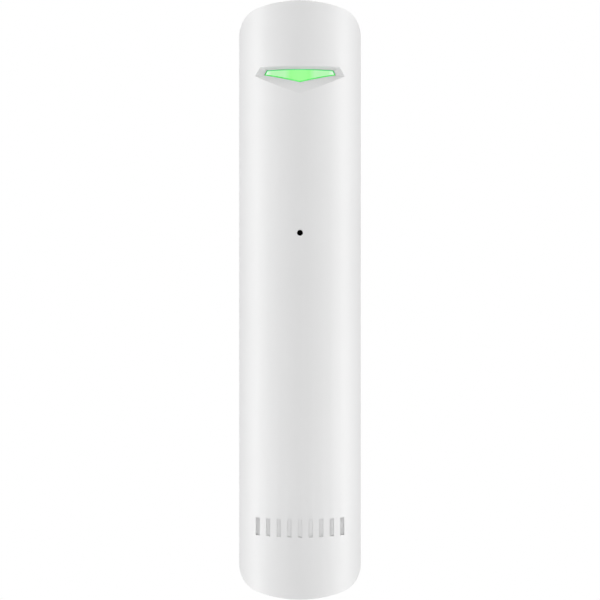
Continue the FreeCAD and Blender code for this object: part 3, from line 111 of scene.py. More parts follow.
def finish(tree, shader, spot, look, areas=(), reliefs=()):
    # Fine grain moves the height and the gloss, and a wide soft drift moves the colour. The
    # lines and pits of drawn, rolled and moulded pieces are about 0.05 wide in real ones, and
    # are drawn coarser so that they show. Stretch packs the grain closer along an axis where
    # it is over 1, and draws it out where it is under 1. An area is a mask with a colour, gloss
    # and metal of its own, and lies over the ones before it. A relief is a height and its depth.
    stretch = {"operation": "MULTIPLY", 1: look.get("stretch", (1, 1, 1))}
    drawn = addNode(tree, "ShaderNodeVectorMath", stretch, {0: spot})
    fine = {"Scale": 1 / look["grainSize"], "Detail": 4.0, "Roughness": 0.6}
    grain = addNode(tree, "ShaderNodeTexNoise", fine, {"Vector": drawn})
    wide = {"Scale": 1 / look["driftSize"], "Detail": 2.0}
    drift = addNode(tree, "ShaderNodeTexNoise", wide, {"Vector": spot})
    ends = {"From Min": driftSpan[0], "From Max": driftSpan[1]}
    drift = addNode(tree, "ShaderNodeMapRange", ends, {"Value": drift})
    isMetal = look.get("metal", 0)
    colour = gloss = metal = None
    for mask, layer in [(None, look), *areas]:
        tones = {"data_type": "RGBA", 6: linear(layer["colour"]), 7: linear(layer["drift"])}
        tone = addNode(tree, "ShaderNodeMix", tones, {0: drift}, 2)
        smooth, rough = layer["roughness"]
        ends = {"From Min": grainSpan[0], "From Max": grainSpan[1], "To Min": smooth, "To Max": rough}
        shine = addNode(tree, "ShaderNodeMapRange", ends, {"Value": grain})
        if mask is None:
            colour, gloss = tone, shine
            continue
        blend = {0: mask, 6: colour, 7: tone}
        colour = addNode(tree, "ShaderNodeMix", {"data_type": "RGBA"}, blend, 2)
        gloss = addNode(tree, "ShaderNodeMix", {}, {0: mask, 2: gloss, 3: shine})
        if metal or layer.get("metal", 0) != isMetal:
            ends = {2: isMetal, 3: layer.get("metal", 0)}
            below = {2: metal} if metal else {}
            metal = addNode(tree, "ShaderNodeMix", ends, {0: mask, **below})
    normal = {}
    for height, depth in [(grain, look["grainDepth"]), *reliefs]:
        raised = {"Strength": 1.0, "Distance": depth * mm}
        normal = {"Normal": addNode(tree, "ShaderNodeBump", raised, {"Height": height, **normal})}
    tree.links.new(colour, shader.inputs["Base Color"])
    tree.links.new(gloss, shader.inputs["Roughness"])
    tree.links.new(normal["Normal"], shader.inputs["Normal"])
    if metal:
        tree.links.new(metal, shader.inputs["Metallic"])


def plain(name, look):
    # one finish over the whole piece
    material, tree, shader, spot = newMaterial(name, look["shader"])
    finish(tree, shader, spot, look)
    return material


def dress(material, *names):
    for name in names:
        for slot in nodes[name].material_slots:
            slot.material = material


def span(name, axis):
    # a piece's low and high end along an axis, in millimetres
    low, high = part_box(name)
    return low[axis] / mm, high[axis] / mm


def wayFrom(tree, spot, name):
    # the way from a piece's middle to the spot, and half of the piece's box
    low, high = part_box(name)
    middle, half = (low + high) / (2 * mm), (high - low) / (2 * mm)
    way = addNode(tree, "ShaderNodeVectorMath", {"operation": "SUBTRACT", 1: middle}, {0: spot})
    return way, half


def pastBox(tree, spot, name):
    # how far the spot is outside a piece's box along X, Y and Z, which is below 0 inside it
    way, half = wayFrom(tree, spot, name)
    way = addNode(tree, "ShaderNodeVectorMath", {"operation": "ABSOLUTE"}, {0: way})
    way = addNode(tree, "ShaderNodeVectorMath", {"operation": "SUBTRACT", 1: half}, {0: way})
    return addNode(tree, "ShaderNodeSeparateXYZ", links={"Vector": way}).node.outputs


def reachIn(tree, way, plane):
    # how long a way is within a plane, which has a 0 for the axis that doesn't count
    flat = addNode(tree, "ShaderNodeVectorMath", {"operation": "MULTIPLY", 1: plane}, {0: way})
    return addNode(tree, "ShaderNodeVectorMath", {"operation": "LENGTH"}, {0: flat}, "Value")


def runsAlongY(tree):
    # 1 on faces that run along Y, such as an edge or a shank, and 0 on those that face along it
    steep = 0.5  # a normal with less than this along Y
    normal = addNode(tree, "ShaderNodeTexCoord", out="Normal")
    alongY = addNode(tree, "ShaderNodeSeparateXYZ", links={"Vector": normal}, out="Y")
    alongY = addNode(tree, "ShaderNodeMath", {"operation": "ABSOLUTE"}, {0: alongY})
    return addNode(tree, "ShaderNodeMath", {"operation": "LESS_THAN", 1: steep}, {0: alongY})


# Covers

# Moulded ABS: white and satin, with the even fine texture of its spark-eroded mould
housing = {
    "colour": "F0F0F0",
    "drift": "EEEEEE",
    "roughness": (0.42, 0.48),
    "grainSize": 0.3,  # real pits are about 0.05, drawn coarser so that they show
    "grainDepth": 0.004,
    "driftSize": 25.0,
    # The pits shade each other at a glancing angle, so the edges don't flare up to white. A
    # trace of metal in place of the plastic's own reflection gives such an even shine.
    "shader": {"IOR": 1.53, "Specular IOR Level": 0.0, "Metallic": 0.055},
}
dress(plain("mouldedAbs", housing), "front_cover", "rear_cover")

# The same ABS from a coarser mould, for the side that faces the wall: matter and a shade darker
bracket = {
    "colour": "ECEDED",
    "drift": "E8E9E9",
    "roughness": (0.5, 0.6),
    "grainSize": 0.45,
    "grainDepth": 0.012,
    "driftSize": 18.0,
    "shader": {"IOR": 1.53},
}
dress(plain("texturedAbs", bracket), "mounting_bracket")
print("covers dressed")

# Lit window

window = {
    "half": 5.36,  # side corner from the middle, on the clear head
    "slant": 0.37,  # top corner further in
    "top": 0.67,  # top edge above the side corners
    "drop": 1.225,  # tip below the side corners
    "level": 34.1,  # side corners above the middle of the housing
    "rim": 0.145,  # the head's edge, where the light leaves sideways
    "rimSolid": 0.75,  # share of the rim that is even, before it fades inwards
    # share of the way out to a side corner, and the light's colour there
    "tones": [(0.26, "87FE7B"), (0.42, "BAFFB8"), (0.80, "BAFFB8"), (0.93, "EEFFF0")],
    "rimColour": "10F048",
    "rimTop": "20F078",
    "body": "2F4A2D",  # the plastic's own colour, under the light
    "bodyDrift": "344F32",
    "cloudSize": 0.8,
    "glow": 0.82,
    "flicker": 0.02,  # how far the cloud moves the glow
    "shader": {"IOR": 1.585, "Roughness": 0.3},
}


def litGuide(look):
    # Diffusing polycarbonate lit from behind by one green LED: deepest in the middle, where the
    # light falls straight through, paler to the ends, and a saturated line around the edge
    material, tree, shader, spot = newMaterial("litPolycarbonate", look["shader"])
    x, _, z = addNode(tree, "ShaderNodeSeparateXYZ", links={"Vector": spot}).node.outputs
    side = addNode(tree, "ShaderNodeMath", {"operation": "ABSOLUTE"}, {0: x})
    folded = addNode(tree, "ShaderNodeCombineXYZ", links={"X": side, "Z": z})
    high, low = look["level"] + look["top"], look["level"] - look["drop"]
    half = look["half"]
    corners = [(0, low), (half, look["level"]), (half - look["slant"], high), (0, high)]
    inside = None
    for (x0, z0), (x1, z1) in zip(corners, corners[1:]):
        outward = Vector((z1 - z0, 0, x0 - x1)).normalized()
        towards = {"operation": "DOT_PRODUCT", 1: outward}
        along = addNode(tree, "ShaderNodeVectorMath", towards, {0: folded}, "Value")
        reach = {"operation": "SUBTRACT", 0: outward.x * x0 + outward.z * z0}
        edge = addNode(tree, "ShaderNodeMath", reach, {1: along})
        if inside:
            edge = addNode(tree, "ShaderNodeMath", {"operation": "MINIMUM"}, {0: inside, 1: edge})
        inside = edge
    across = addNode(tree, "ShaderNodeMapRange", {"From Max": half}, {"Value": side})
    inner = addNode(tree, "ShaderNodeValToRGB", links={"Fac": across})
    stops = inner.node.color_ramp.elements
    while len(stops) < len(look["tones"]):
        stops.new(1.0)
    for stop, (position, colour) in zip(stops, look["tones"]):
        stop.position, stop.color = position, linear(colour)
    upper = {"From Min": look["level"], "From Max": high}
    height = addNode(tree, "ShaderNodeMapRange", upper, {"Value": z})
    rimTones = {"data_type": "RGBA", 6: linear(look["rimColour"]), 7: linear(look["rimTop"])}
    rim = addNode(tree, "ShaderNodeMix", rimTones, {0: height}, 2)
    soft = {"From Min": look["rim"] * look["rimSolid"], "From Max": look["rim"]}
    clear = addNode(tree, "ShaderNodeMapRange", soft, {"Value": inside})
    blend = {0: clear, 6: rim, 7: inner}
    colour = addNode(tree, "ShaderNodeMix", {"data_type": "RGBA"}, blend, 2)
    cloudScale = {"Scale": 1 / look["cloudSize"]}
    cloud = addNode(tree, "ShaderNodeTexNoise", cloudScale, {"Vector": spot})
    dimmer, brighter = look["glow"] * (1 - look["flicker"]), look["glow"] * (1 + look["flicker"])
    ends = {"To Min": dimmer, "To Max": brighter}
    glow = addNode(tree, "ShaderNodeMapRange", ends, {"Value": cloud})
    bodyTones = {"data_type": "RGBA", 6: linear(look["body"]), 7: linear(look["bodyDrift"])}
    body = addNode(tree, "ShaderNodeMix", bodyTones, {0: cloud}, 2)
    tree.links.new(body, shader.inputs["Base Color"])
    tree.links.new(colour, shader.inputs["Emission Color"])
    tree.links.new(glow, shader.inputs["Emission Strength"])
    material.cycles.emission_sampling = "NONE"  # not sampled as a lamp
    return material


dress(litGuide(window), "light_guide")
nodes["light_guide"].visible_diffuse = False  # its green would otherwise stain the recess
print("window lit")

# Circuit board

board = {
    "colour": "0F5A33",
    "drift": "0E5430",
    "roughness": (0.28, 0.4),
    "grainSize": 0.4,
    "grainDepth": 0.003,
    "driftSize": 8.0,
    "track": {"colour": "1B7544", "drift": "1A7041", "roughness": (0.26, 0.36)},
    "trackPitch": 1.27,
    "trackWidth": 0.25,
    "trackDepth": 0.03,
    "routeSize": 3.0,  # how far a track runs before it ends or turns
    "routed": 0.46,  # level of the noise below which there is no track
    "upright": 0.5,  # level above which the tracks run upright, and below it across
    "tin": {"colour": "C9C9C2", "drift": "BFBFB8", "roughness": (0.22, 0.36), "metal": 1},
    "footReach": 0.5,  # a piece stands on the board where its foot is this near
    "landReach": 0.3,  # tinned lands show this far around a piece's foot
    "landPitch": 1.0,  # from one land to the next
    "ringReach": 1.9,  # from a screw's axis to the edge of its bare ring
    "ink": {"colour": "EDEDE8", "drift": "E6E6E0", "roughness": (0.5, 0.6)},
    "inkGap": 0.5,  # printed frame around a piece's foot
    "inkWidth": 0.13,
    "laminate": {"colour": "B9A56A", "drift": "B09C62", "roughness": (0.6, 0.75)},
    "soldered": ["status_led", "radio_shield", "crystal", "capacitor"],
    "solderedBehind": ["tamper_switch", "power_switch", "terminal_block", "processor_chip"],
    "screws": ["board_screw_low", "board_screw_high"],
    "shader": {"IOR": 1.5},
}


def printedBoard(look):
    # Glass-fibre laminate under a dipped green solder mask: tracks show as paler ridges, bare
    # copper is tinned bright, thin white frames are printed around the pieces, and the routed
    # edge shows the laminate's own straw colour
    material, tree, shader, spot = newMaterial("solderMaskedLaminate", look["shader"])
    x, _, z = addNode(tree, "ShaderNodeSeparateXYZ", links={"Vector": spot}).node.outputs
    tracks = []
    for axis in (x, z):
        turn = {"operation": "PINGPONG", 1: look["trackPitch"] / 2}
        turn = addNode(tree, "ShaderNodeMath", turn, {0: axis})
        narrow = {"operation": "LESS_THAN", 1: look["trackWidth"] / 2}
        tracks.append(addNode(tree, "ShaderNodeMath", narrow, {0: turn}))
    routeScale = {"Scale": 1 / look["routeSize"]}
    route = addNode(tree, "ShaderNodeTexNoise", routeScale, {"Vector": spot})
    upright = {"operation": "GREATER_THAN", 1: look["upright"]}
    upright = addNode(tree, "ShaderNodeMath", upright, {0: route})
    track = addNode(tree, "ShaderNodeMix", {}, {0: upright, 2: tracks[1], 3: tracks[0]})
    there = {"operation": "GREATER_THAN", 1: look["routed"]}
    there = addNode(tree, "ShaderNodeMath", there, {0: route})
    both = {"operation": "MULTIPLY"}
    track = addNode(tree, "ShaderNodeMath", both, {0: track, 1: there})

    diagonal = addNode(tree, "ShaderNodeMath", {"operation": "ADD"}, {0: x, 1: z})
    step = {"operation": "PINGPONG", 1: look["landPitch"] / 2}
    step = addNode(tree, "ShaderNodeMath", step, {0: diagonal})
    landed = {"operation": "LESS_THAN", 1: look["landPitch"] / 4}
    landed = addNode(tree, "ShaderNodeMath", landed, {0: step})
    tinned, inked = [], []
    for name in look["soldered"] + look["solderedBehind"]:
        pastX, pastY, pastZ = pastBox(tree, spot, name)
        beside = addNode(tree, "ShaderNodeMath", {"operation": "MAXIMUM"}, {0: pastX, 1: pastZ})
        sameFace = {"operation": "LESS_THAN", 1: look["footReach"]}
        sameFace = addNode(tree, "ShaderNodeMath", sameFace, {0: pastY})
        line = {"operation": "COMPARE", 1: look["inkGap"], 2: look["inkWidth"] / 2}
        line = addNode(tree, "ShaderNodeMath", line, {0: beside})
        inked.append(addNode(tree, "ShaderNodeMath", both, {0: line, 1: sameFace}))
        land = {"operation": "LESS_THAN", 1: look["landReach"]}
        land = addNode(tree, "ShaderNodeMath", land, {0: beside})
        land = addNode(tree, "ShaderNodeMath", both, {0: land, 1: sameFace})
        tinned.append(addNode(tree, "ShaderNodeMath", both, {0: land, 1: landed}))
    for name in look["screws"]:
        way, _ = wayFrom(tree, spot, name)
        ring = {"operation": "LESS_THAN", 1: look["ringReach"]}
        tinned.append(addNode(tree, "ShaderNodeMath", ring, {0: reachIn(tree, way, (1, 0, 1))}))
    masks = []
    for group in (tinned, inked):
        mask = group[0]
        for other in group[1:]:
            mask = addNode(tree, "ShaderNodeMath", {"operation": "MAXIMUM"}, {0: mask, 1: other})
        masks.append(mask)
    areas = [
        (track, look["track"]),
        (masks[0], look["tin"]),
        (masks[1], look["ink"]),
        (runsAlongY(tree), look["laminate"]),
    ]
    finish(tree, shader, spot, look, areas, [(track, look["trackDepth"])])
    return material


dress(printedBoard(board), "circuit_board")

led = {
    "colour": "E9E8DE",
    "drift": "E4E3D8",
    "roughness": (0.3, 0.4),
    "grainSize": 0.3,
    "grainDepth": 0.002,
    "driftSize": 2.0,
    "lens": {"colour": "A6F59C", "drift": "9FF095", "roughness": (0.12, 0.2)},
    "lensDepth": 0.38,  # how far the lens stands off the body
    "glow": 0.5,
    "shader": {"IOR": 1.5, "Emission Color": linear("A6F59C")},
}


def litLed(look):
    # White moulded nylon body that bounces the light, and a cast epoxy lens that glows green
    material, tree, shader, spot = newMaterial("castEpoxyOnNylon", look["shader"])
    y = addNode(tree, "ShaderNodeSeparateXYZ", links={"Vector": spot}, out="Y")
    foot = {"operation": "LESS_THAN", 1: span("status_led", 1)[0] + look["lensDepth"]}
    lens = addNode(tree, "ShaderNodeMath", foot, {0: y})
    finish(tree, shader, spot, look, [(lens, look["lens"])])
    glow = addNode(tree, "ShaderNodeMath", {"operation": "MULTIPLY", 1: look["glow"]}, {0: lens})
    tree.links.new(glow, shader.inputs["Emission Strength"])
    return material


dress(litLed(led), "status_led")

chip = {
    "colour": "17181A",
    "drift": "1A1B1D",
    "roughness": (0.55, 0.7),
    "grainSize": 0.08,
    "grainDepth": 0.006,
    "driftSize": 3.0,
    "bodyHalf": 2.0,  # half of the resin's width
    "pinGap": 0.005,  # tinned from this far past the resin, where only pins are
    "pins": {"colour": "C4C5C2", "drift": "BCBDBA", "roughness": (0.22, 0.34), "metal": 1},
    "dimple": {"colour": "101112", "drift": "101112", "roughness": (0.3, 0.4)},
    "dimpleInset": 0.55,  # the moulded dimple that marks the first pin
    "dimpleRadius": 0.22,
    "dimpleDepth": 0.05,
    "shader": {"IOR": 1.55},
}


def resinChip(look):
    # Moulded epoxy, black and matt from its filler, with tinned pins around it
    material, tree, shader, spot = newMaterial("mouldedEpoxy", look["shader"])
    way, half = wayFrom(tree, spot, "processor_chip")
    folded = addNode(tree, "ShaderNodeVectorMath", {"operation": "ABSOLUTE"}, {0: way})
    x, _, z = addNode(tree, "ShaderNodeSeparateXYZ", links={"Vector": folded}).node.outputs
    reach = addNode(tree, "ShaderNodeMath", {"operation": "MAXIMUM"}, {0: x, 1: z})
    outside = {"operation": "GREATER_THAN", 1: look["bodyHalf"] + look["pinGap"]}
    pins = addNode(tree, "ShaderNodeMath", outside, {0: reach})
    inset = look["bodyHalf"] - look["dimpleInset"]
    corner = {"operation": "SUBTRACT", 1: (inset, half.y, inset)}
    corner = addNode(tree, "ShaderNodeVectorMath", corner, {0: way})
    corner = addNode(tree, "ShaderNodeVectorMath", {"operation": "LENGTH"}, {0: corner}, "Value")
    dimple = {"operation": "LESS_THAN", 1: look["dimpleRadius"]}
    dimple = addNode(tree, "ShaderNodeMath", dimple, {0: corner})
    areas = [(pins, look["pins"]), (dimple, look["dimple"])]
    finish(tree, shader, spot, look, areas, [(dimple, -look["dimpleDepth"])])
    return material


dress(resinChip(chip), "processor_chip")

capacitorCan = {
    "colour": "C8CACC",
    "drift": "C0C2C4",
    "roughness": (0.25, 0.38),
    "grainSize": 0.3,
    "grainDepth": 0.002,
    "driftSize": 3.0,
    "stretch": (1, 6, 1),
    "metal": 1,
    "band": {"colour": "26282B", "drift": "292B2E", "roughness": (0.4, 0.5)},
    "bandWidth": 0.8,  # printed segment at the negative side
    "foot": {"colour": "1A1B1C", "drift": "1D1E1F", "roughness": (0.4, 0.55)},
    "footDepth": 0.8,
    "shader": {},
}


def drawnCan(look):
    # Drawn aluminium can: faint rings from the die, a dark printed segment, a black nylon foot
    material, tree, shader, spot = newMaterial("drawnAluminium", look["shader"])
    x, y, _ = addNode(tree, "ShaderNodeSeparateXYZ", links={"Vector": spot}).node.outputs
    start = {"operation": "GREATER_THAN", 1: span("capacitor", 0)[1] - look["bandWidth"]}
    band = addNode(tree, "ShaderNodeMath", start, {0: x})
    start = {"operation": "GREATER_THAN", 1: span("capacitor", 1)[1] - look["footDepth"]}
    foot = addNode(tree, "ShaderNodeMath", start, {0: y})
    finish(tree, shader, spot, look, [(band, look["band"]), (foot, look["foot"])])
    return material


dress(drawnCan(capacitorCan), "capacitor")

# Stamped tin-plated steel: a soft mirror with rolled lines up the sheet
shield = {
    "colour": "D0D0CB",
    "drift": "C6C6C1",
    "roughness": (0.28, 0.4),
    "grainSize": 0.3,
    "grainDepth": 0.002,
    "driftSize": 3.0,
    "stretch": (3, 1, 0.15),
    "shader": {"Metallic": 1.0},
}
dress(plain("tinPlatedSteel", shield), "radio_shield")

# Lapped nickel silver lid: yellowish and almost a mirror
crystalLid = {
    "colour": "D6D1C4",
    "drift": "CEC9BC",
    "roughness": (0.2, 0.3),
    "grainSize": 0.25,
    "grainDepth": 0.001,
    "driftSize": 2.0,
    "stretch": (3, 1, 0.2),
    "shader": {"Metallic": 1.0},
}
dress(plain("nickelSilver", crystalLid), "crystal")

# Wound phosphor bronze wire: warm and bright, with fine lines from the drawing die
coil = {
    "colour": "D9A878",
    "drift": "D09E6E",
    "roughness": (0.22, 0.32),
    "grainSize": 0.35,
    "grainDepth": 0.002,
    "driftSize": 2.0,
    "shader": {"Metallic": 1.0},
}
dress(plain("phosphorBronzeWire", coil), "antenna")

# Switch bodies of moulded glass-filled nylon: black, with a slight sparkle from the fibres
switches = {
    "colour": "1D1E20",
    "drift": "212224",
    "roughness": (0.42, 0.58),
    "grainSize": 0.12,
    "grainDepth": 0.008,
    "driftSize": 3.0,
    "stretch": (1, 1, 0.4),
    "shader": {"IOR": 1.53},
}
dress(plain("glassFilledNylon", switches), "tamper_switch", "power_switch")

# Terminal block of moulded nylon: green and semi-gloss
terminals = {
    "colour": "2F7D50",
    "drift": "2C764B",
    "roughness": (0.32, 0.45),
    "grainSize": 0.2,
    "grainDepth": 0.005,
    "driftSize": 3.0,
    "shader": {"IOR": 1.53},
}
dress(plain("greenNylon", terminals), "terminal_block")
print("board dressed")

# Microphone

capsule = {
    "colour": "CDCFD1",
    "drift": "C5C7C9",
    "roughness": (0.3, 0.42),
    "grainSize": 0.25,
    "grainDepth": 0.002,
    "driftSize": 3.0,
    "stretch": (1, 5, 1),
    "metal": 1,
    "disc": {"colour": "1E6B3E", "drift": "1B6339", "roughness": (0.35, 0.45)},
    "discRadius": 2.45,
    "discFace": 0.02,  # the disc shows only on the capsule's rear face
    "shader": {},
}


def electretCapsule(look):
    # Deep-drawn aluminium capsule with soft rings from the die, crimped over a small green board
    material, tree, shader, spot = newMaterial("deepDrawnAluminium", look["shader"])
    way, half = wayFrom(tree, spot, "microphone")
    y = addNode(tree, "ShaderNodeSeparateXYZ", links={"Vector": way}, out="Y")
    behind = {"operation": "GREATER_THAN", 1: half.y - look["discFace"]}
    behind = addNode(tree, "ShaderNodeMath", behind, {0: y})
    inner = {"operation": "LESS_THAN", 1: look["discRadius"]}
    inner = addNode(tree, "ShaderNodeMath", inner, {0: reachIn(tree, way, (1, 0, 1))})
    disc = addNode(tree, "ShaderNodeMath", {"operation": "MULTIPLY"}, {0: behind, 1: inner})
    finish(tree, shader, spot, look, [(disc, look["disc"])])
    return material


dress(electretCapsule(capsule), "microphone")

# Dipped tinned copper leads: pale, a little cloudy where the solder set
leads = {
    "colour": "C9C9C4",
    "drift": "BCBCB7",
    "roughness": (0.25, 0.4),
    "grainSize": 0.4,
    "grainDepth": 0.003,
    "driftSize": 1.0,
    "shader": {"Metallic": 1.0},
}
dress(plain("tinnedCopper", leads), "microphone_lead_left", "microphone_lead_right")

# Moulded nitrile rubber: black, matt and faintly pitted
gasket = {
    "colour": "1C1C1D",
    "drift": "202021",
    "roughness": (0.7, 0.85),
    "grainSize": 0.2,
    "grainDepth": 0.012,
    "driftSize": 3.0,
    "shader": {"IOR": 1.52},
}
dress(plain("nitrileRubber", gasket), "microphone_gasket")

dustMesh = {
    # the open squares: near-black, painted shade of the pinhole behind the weave
    "colour": "030303",
    "drift": "040404",
    "roughness": (0.7, 0.8),
    "grainSize": 0.1,
    "grainDepth": 0.001,
    "driftSize": 3.0,
    # the threads: black polyester, darkened further by painted shade of the pinhole
    "thread": {"colour": "0E0E0F", "drift": "121213", "roughness": (0.55, 0.65)},
    "threadPitch": 0.25,  # a real one has 0.1, drawn coarser so that it shows
    "threadFrom": 0.6,  # a wave of the weave is thread above this, and open below it
    "threadDepth": 0.05,
    "shader": {"IOR": 1.57, "Specular IOR Level": 0.0},  # its shine is lost down the pinhole
}


def wovenMesh(look):
    # Plain-woven polyester: threads crossing both ways, with open squares between them that are
    # painted near-black, a painted shade of the pinhole behind the weave
    material, tree, shader, spot = newMaterial("wovenPolyester", look["shader"])
    x, _, z = addNode(tree, "ShaderNodeSeparateXYZ", links={"Vector": spot}).node.outputs
    waves = []
    for axis in (x, z):
        turn = {"operation": "MULTIPLY", 1: math.pi / look["threadPitch"]}
        turn = addNode(tree, "ShaderNodeMath", turn, {0: axis})
        wave = addNode(tree, "ShaderNodeMath", {"operation": "SINE"}, {0: turn})
        waves.append(addNode(tree, "ShaderNodeMath", {"operation": "ABSOLUTE"}, {0: wave}))
    height = addNode(tree, "ShaderNodeMath", {"operation": "MAXIMUM"}, {0: waves[0], 1: waves[1]})
    thread = {"operation": "GREATER_THAN", 1: look["threadFrom"]}
    thread = addNode(tree, "ShaderNodeMath", thread, {0: height})
    finish(tree, shader, spot, look, [(thread, look["thread"])], [(height, look["threadDepth"])])
    return material


dress(wovenMesh(dustMesh), "acoustic_mesh")
print("microphone dressed")

# Tamper plunger and power button

# Turned acetal: creamy white and waxy, with faint rings from the lathe
plunger = {
    "colour": "EDEDE8",
    "drift": "E8E8E2",
    "roughness": (0.3, 0.4),
    "grainSize": 0.25,
    "grainDepth": 0.003,
    "driftSize": 3.0,
    "stretch": (0.3, 3, 0.3),
    "shader": {"IOR": 1.48},
}
dress(plain("turnedAcetal", plunger), "tamper_plunger")

# Coiled spring steel wire: grey and bright
spring = {
    "colour": "B9BBBD",
    "drift": "AFB1B3",
    "roughness": (0.2, 0.3),
    "grainSize": 0.3,
    "grainDepth": 0.002,
    "driftSize": 1.5,
    "shader": {"Metallic": 1.0},
}
dress(plain("springSteelWire", spring), "tamper_spring")


def pressedSpring():
    # The same coil as a piece of its own, held to the housing, in place of the hidden original
    coil = bpy.data.objects.new("pressedSpring", nodes["tamper_spring"].data.copy())
    bpy.context.collection.objects.link(coil)
    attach(coil, "housing")
    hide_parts("tamper_spring")
    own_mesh(coil)


pressedSpring()

# Moulded ABS, dyed dark grey and satin
button = {
    "colour": "4A4C4F",
    "drift": "464849",
    "roughness": (0.4, 0.5),
    "grainSize": 0.2,
    "grainDepth": 0.006,
    "driftSize": 3.0,
    "shader": {"IOR": 1.53},
}
dress(plain("greyAbs", button), "power_button")

# Screws

screws = {
    "colour": "C3C5C8",
    "drift": "B9BCC0",
    "roughness": (0.25, 0.38),
    "grainSize": 0.25,
    "grainDepth": 0.003,
    "driftSize": 2.0,
    "threadPitch": 0.7,
    "threadDepth": 0.25,  # twice the ridge's height, as its wave goes up to a half
    "shankMargin": 0.05,  # the thread's mask reaches this far past a shank
    "shanks": {  # radius of each shank
        "board_screw_low": 0.8,
        "board_screw_high": 0.8,
        "cover_screw_low": 1.0,
        "cover_screw_high": 1.0,
        "terminal_screw_left": 1.1,
        "terminal_screw_right": 1.1,
    },
    "shader": {"Metallic": 1.0},
}


def platedScrew(look, name):
    # Bright zinc on rolled steel: cold white with a faint cloud, and a thread round the shank
    material, tree, shader, spot = newMaterial("zincPlatedSteel", look["shader"])
    way, _ = wayFrom(tree, spot, name)
    x, y, z = addNode(tree, "ShaderNodeSeparateXYZ", links={"Vector": way}).node.outputs
    angle = addNode(tree, "ShaderNodeMath", {"operation": "ARCTAN2"}, {0: z, 1: x})
    turn = {"operation": "MULTIPLY", 1: 1 / (2 * math.pi)}
    turn = addNode(tree, "ShaderNodeMath", turn, {0: angle})
    along = {"operation": "MULTIPLY", 1: 1 / look["threadPitch"]}
    along = addNode(tree, "ShaderNodeMath", along, {0: y})
    helix = addNode(tree, "ShaderNodeMath", {"operation": "ADD"}, {0: along, 1: turn})
    upAndDown = {"operation": "PINGPONG", 1: 1 / 2}  # once in each turn
    ridge = addNode(tree, "ShaderNodeMath", upAndDown, {0: helix})
    within = {"operation": "LESS_THAN", 1: look["shanks"][name] + look["shankMargin"]}
    shank = addNode(tree, "ShaderNodeMath", within, {0: reachIn(tree, way, (1, 0, 1))})
    shank = addNode(tree, "ShaderNodeMath", {"operation": "MULTIPLY"}, {0: shank, 1: runsAlongY(tree)})
    thread = addNode(tree, "ShaderNodeMath", {"operation": "MULTIPLY"}, {0: ridge, 1: shank})
    finish(tree, shader, spot, look, [], [(thread, look["threadDepth"])])
    return material


for name in screws["shanks"]:
    dress(platedScrew(screws, name), name)
print("moving pieces and screws dressed")

# Power

cell = {
    "colour": "2C5B86",
    "drift": "28547C",
    "roughness": (0.22, 0.34),
    "grainSize": 1.2,
    "grainDepth": 0.01,
    "driftSize": 8.0,
    "stretch": (1, 1, 0.3),
    "ring": {"colour": "D9DCDE", "drift": "D3D6D8", "roughness": (0.24, 0.34)},
    "ringWidth": 1.6,
    "steel": {"colour": "C6C8CA", "drift": "BEC0C2", "roughness": (0.22, 0.34), "metal": 1},
    "steelReach": 0.8,  # bare steel at both ends
    "nub": 0.8,
    "shader": {"IOR": 1.53},
}


def sleevedCell(look):
    # Steel can in a shrunk PVC sleeve: glossy and faintly rippled up the can, with a pale ring
    # at the positive end and bare steel at both ends
    material, tree, shader, spot = newMaterial("shrunkPvcSleeve", look["shader"])
    z = addNode(tree, "ShaderNodeSeparateXYZ", links={"Vector": spot}, out="Z")
    low, high = span("battery", 2)
    sleeveTop = high - look["nub"] - look["steelReach"]
    start = {"operation": "GREATER_THAN", 1: sleeveTop - look["ringWidth"]}
    ring = addNode(tree, "ShaderNodeMath", start, {0: z})
    over = addNode(tree, "ShaderNodeMath", {"operation": "GREATER_THAN", 1: sleeveTop}, {0: z})
    under = {"operation": "LESS_THAN", 1: low + look["steelReach"]}
    under = addNode(tree, "ShaderNodeMath", under, {0: z})
    areas = [(ring, look["ring"]), (over, look["steel"]), (under, look["steel"])]
    finish(tree, shader, spot, look, areas)
    return material


dress(sleevedCell(cell), "battery")

# Rolled nickel strip: yellowish grey, with lines along the strip
contacts = {
    "colour": "CAC5B8",
    "drift": "C1BCAF",
    "roughness": (0.24, 0.36),
    "grainSize": 0.3,
    "grainDepth": 0.002,
    "driftSize": 3.0,
    "stretch": (0.2, 3, 3),
    "shader": {"Metallic": 1.0},
}
dress(plain("rolledNickel", contacts), "battery_contact_positive", "battery_contact_negative")

wire = {
    "colour": "191A1C",
    "drift": "1D1E20",
    "roughness": (0.28, 0.38),
    "grainSize": 0.3,
    "grainDepth": 0.003,
    "driftSize": 4.0,
    "stretch": (1, 1, 0.3),
    "copper": {"colour": "CDCCC6", "drift": "C3C2BC", "roughness": (0.3, 0.45), "metal": 1},
    "stripped": 0.7,  # bare tinned end on the contact
    "shader": {"IOR": 1.53},
}


def strippedWire(look):
    # Extruded PVC, black and smooth, stripped to tinned strands where it is soldered on
    material, tree, shader, spot = newMaterial("extrudedPvc", look["shader"])
    z = addNode(tree, "ShaderNodeSeparateXYZ", links={"Vector": spot}, out="Z")
    end = {"operation": "LESS_THAN", 1: span("negative_wire", 2)[0] + look["stripped"]}
    bare = addNode(tree, "ShaderNodeMath", end, {0: z})
    finish(tree, shader, spot, look, [(bare, look["copper"])])
    return material


dress(strippedWire(wire), "negative_wire")
print("power dressed")

# Label

label = {
    "colour": "F3F4F4",
    "drift": "F0F1F1",
    "roughness": (0.45, 0.55),
    "grainSize": 0.15,
    "grainDepth": 0.001,
    "driftSize": 6.0,
    "frame": {"colour": "B9BDBF", "drift": "B5B9BB", "roughness": (0.4, 0.5)},
    "frameInset": 0.41,
    "frameWidth": 0.12,
    "shader": {"IOR": 1.57},
}


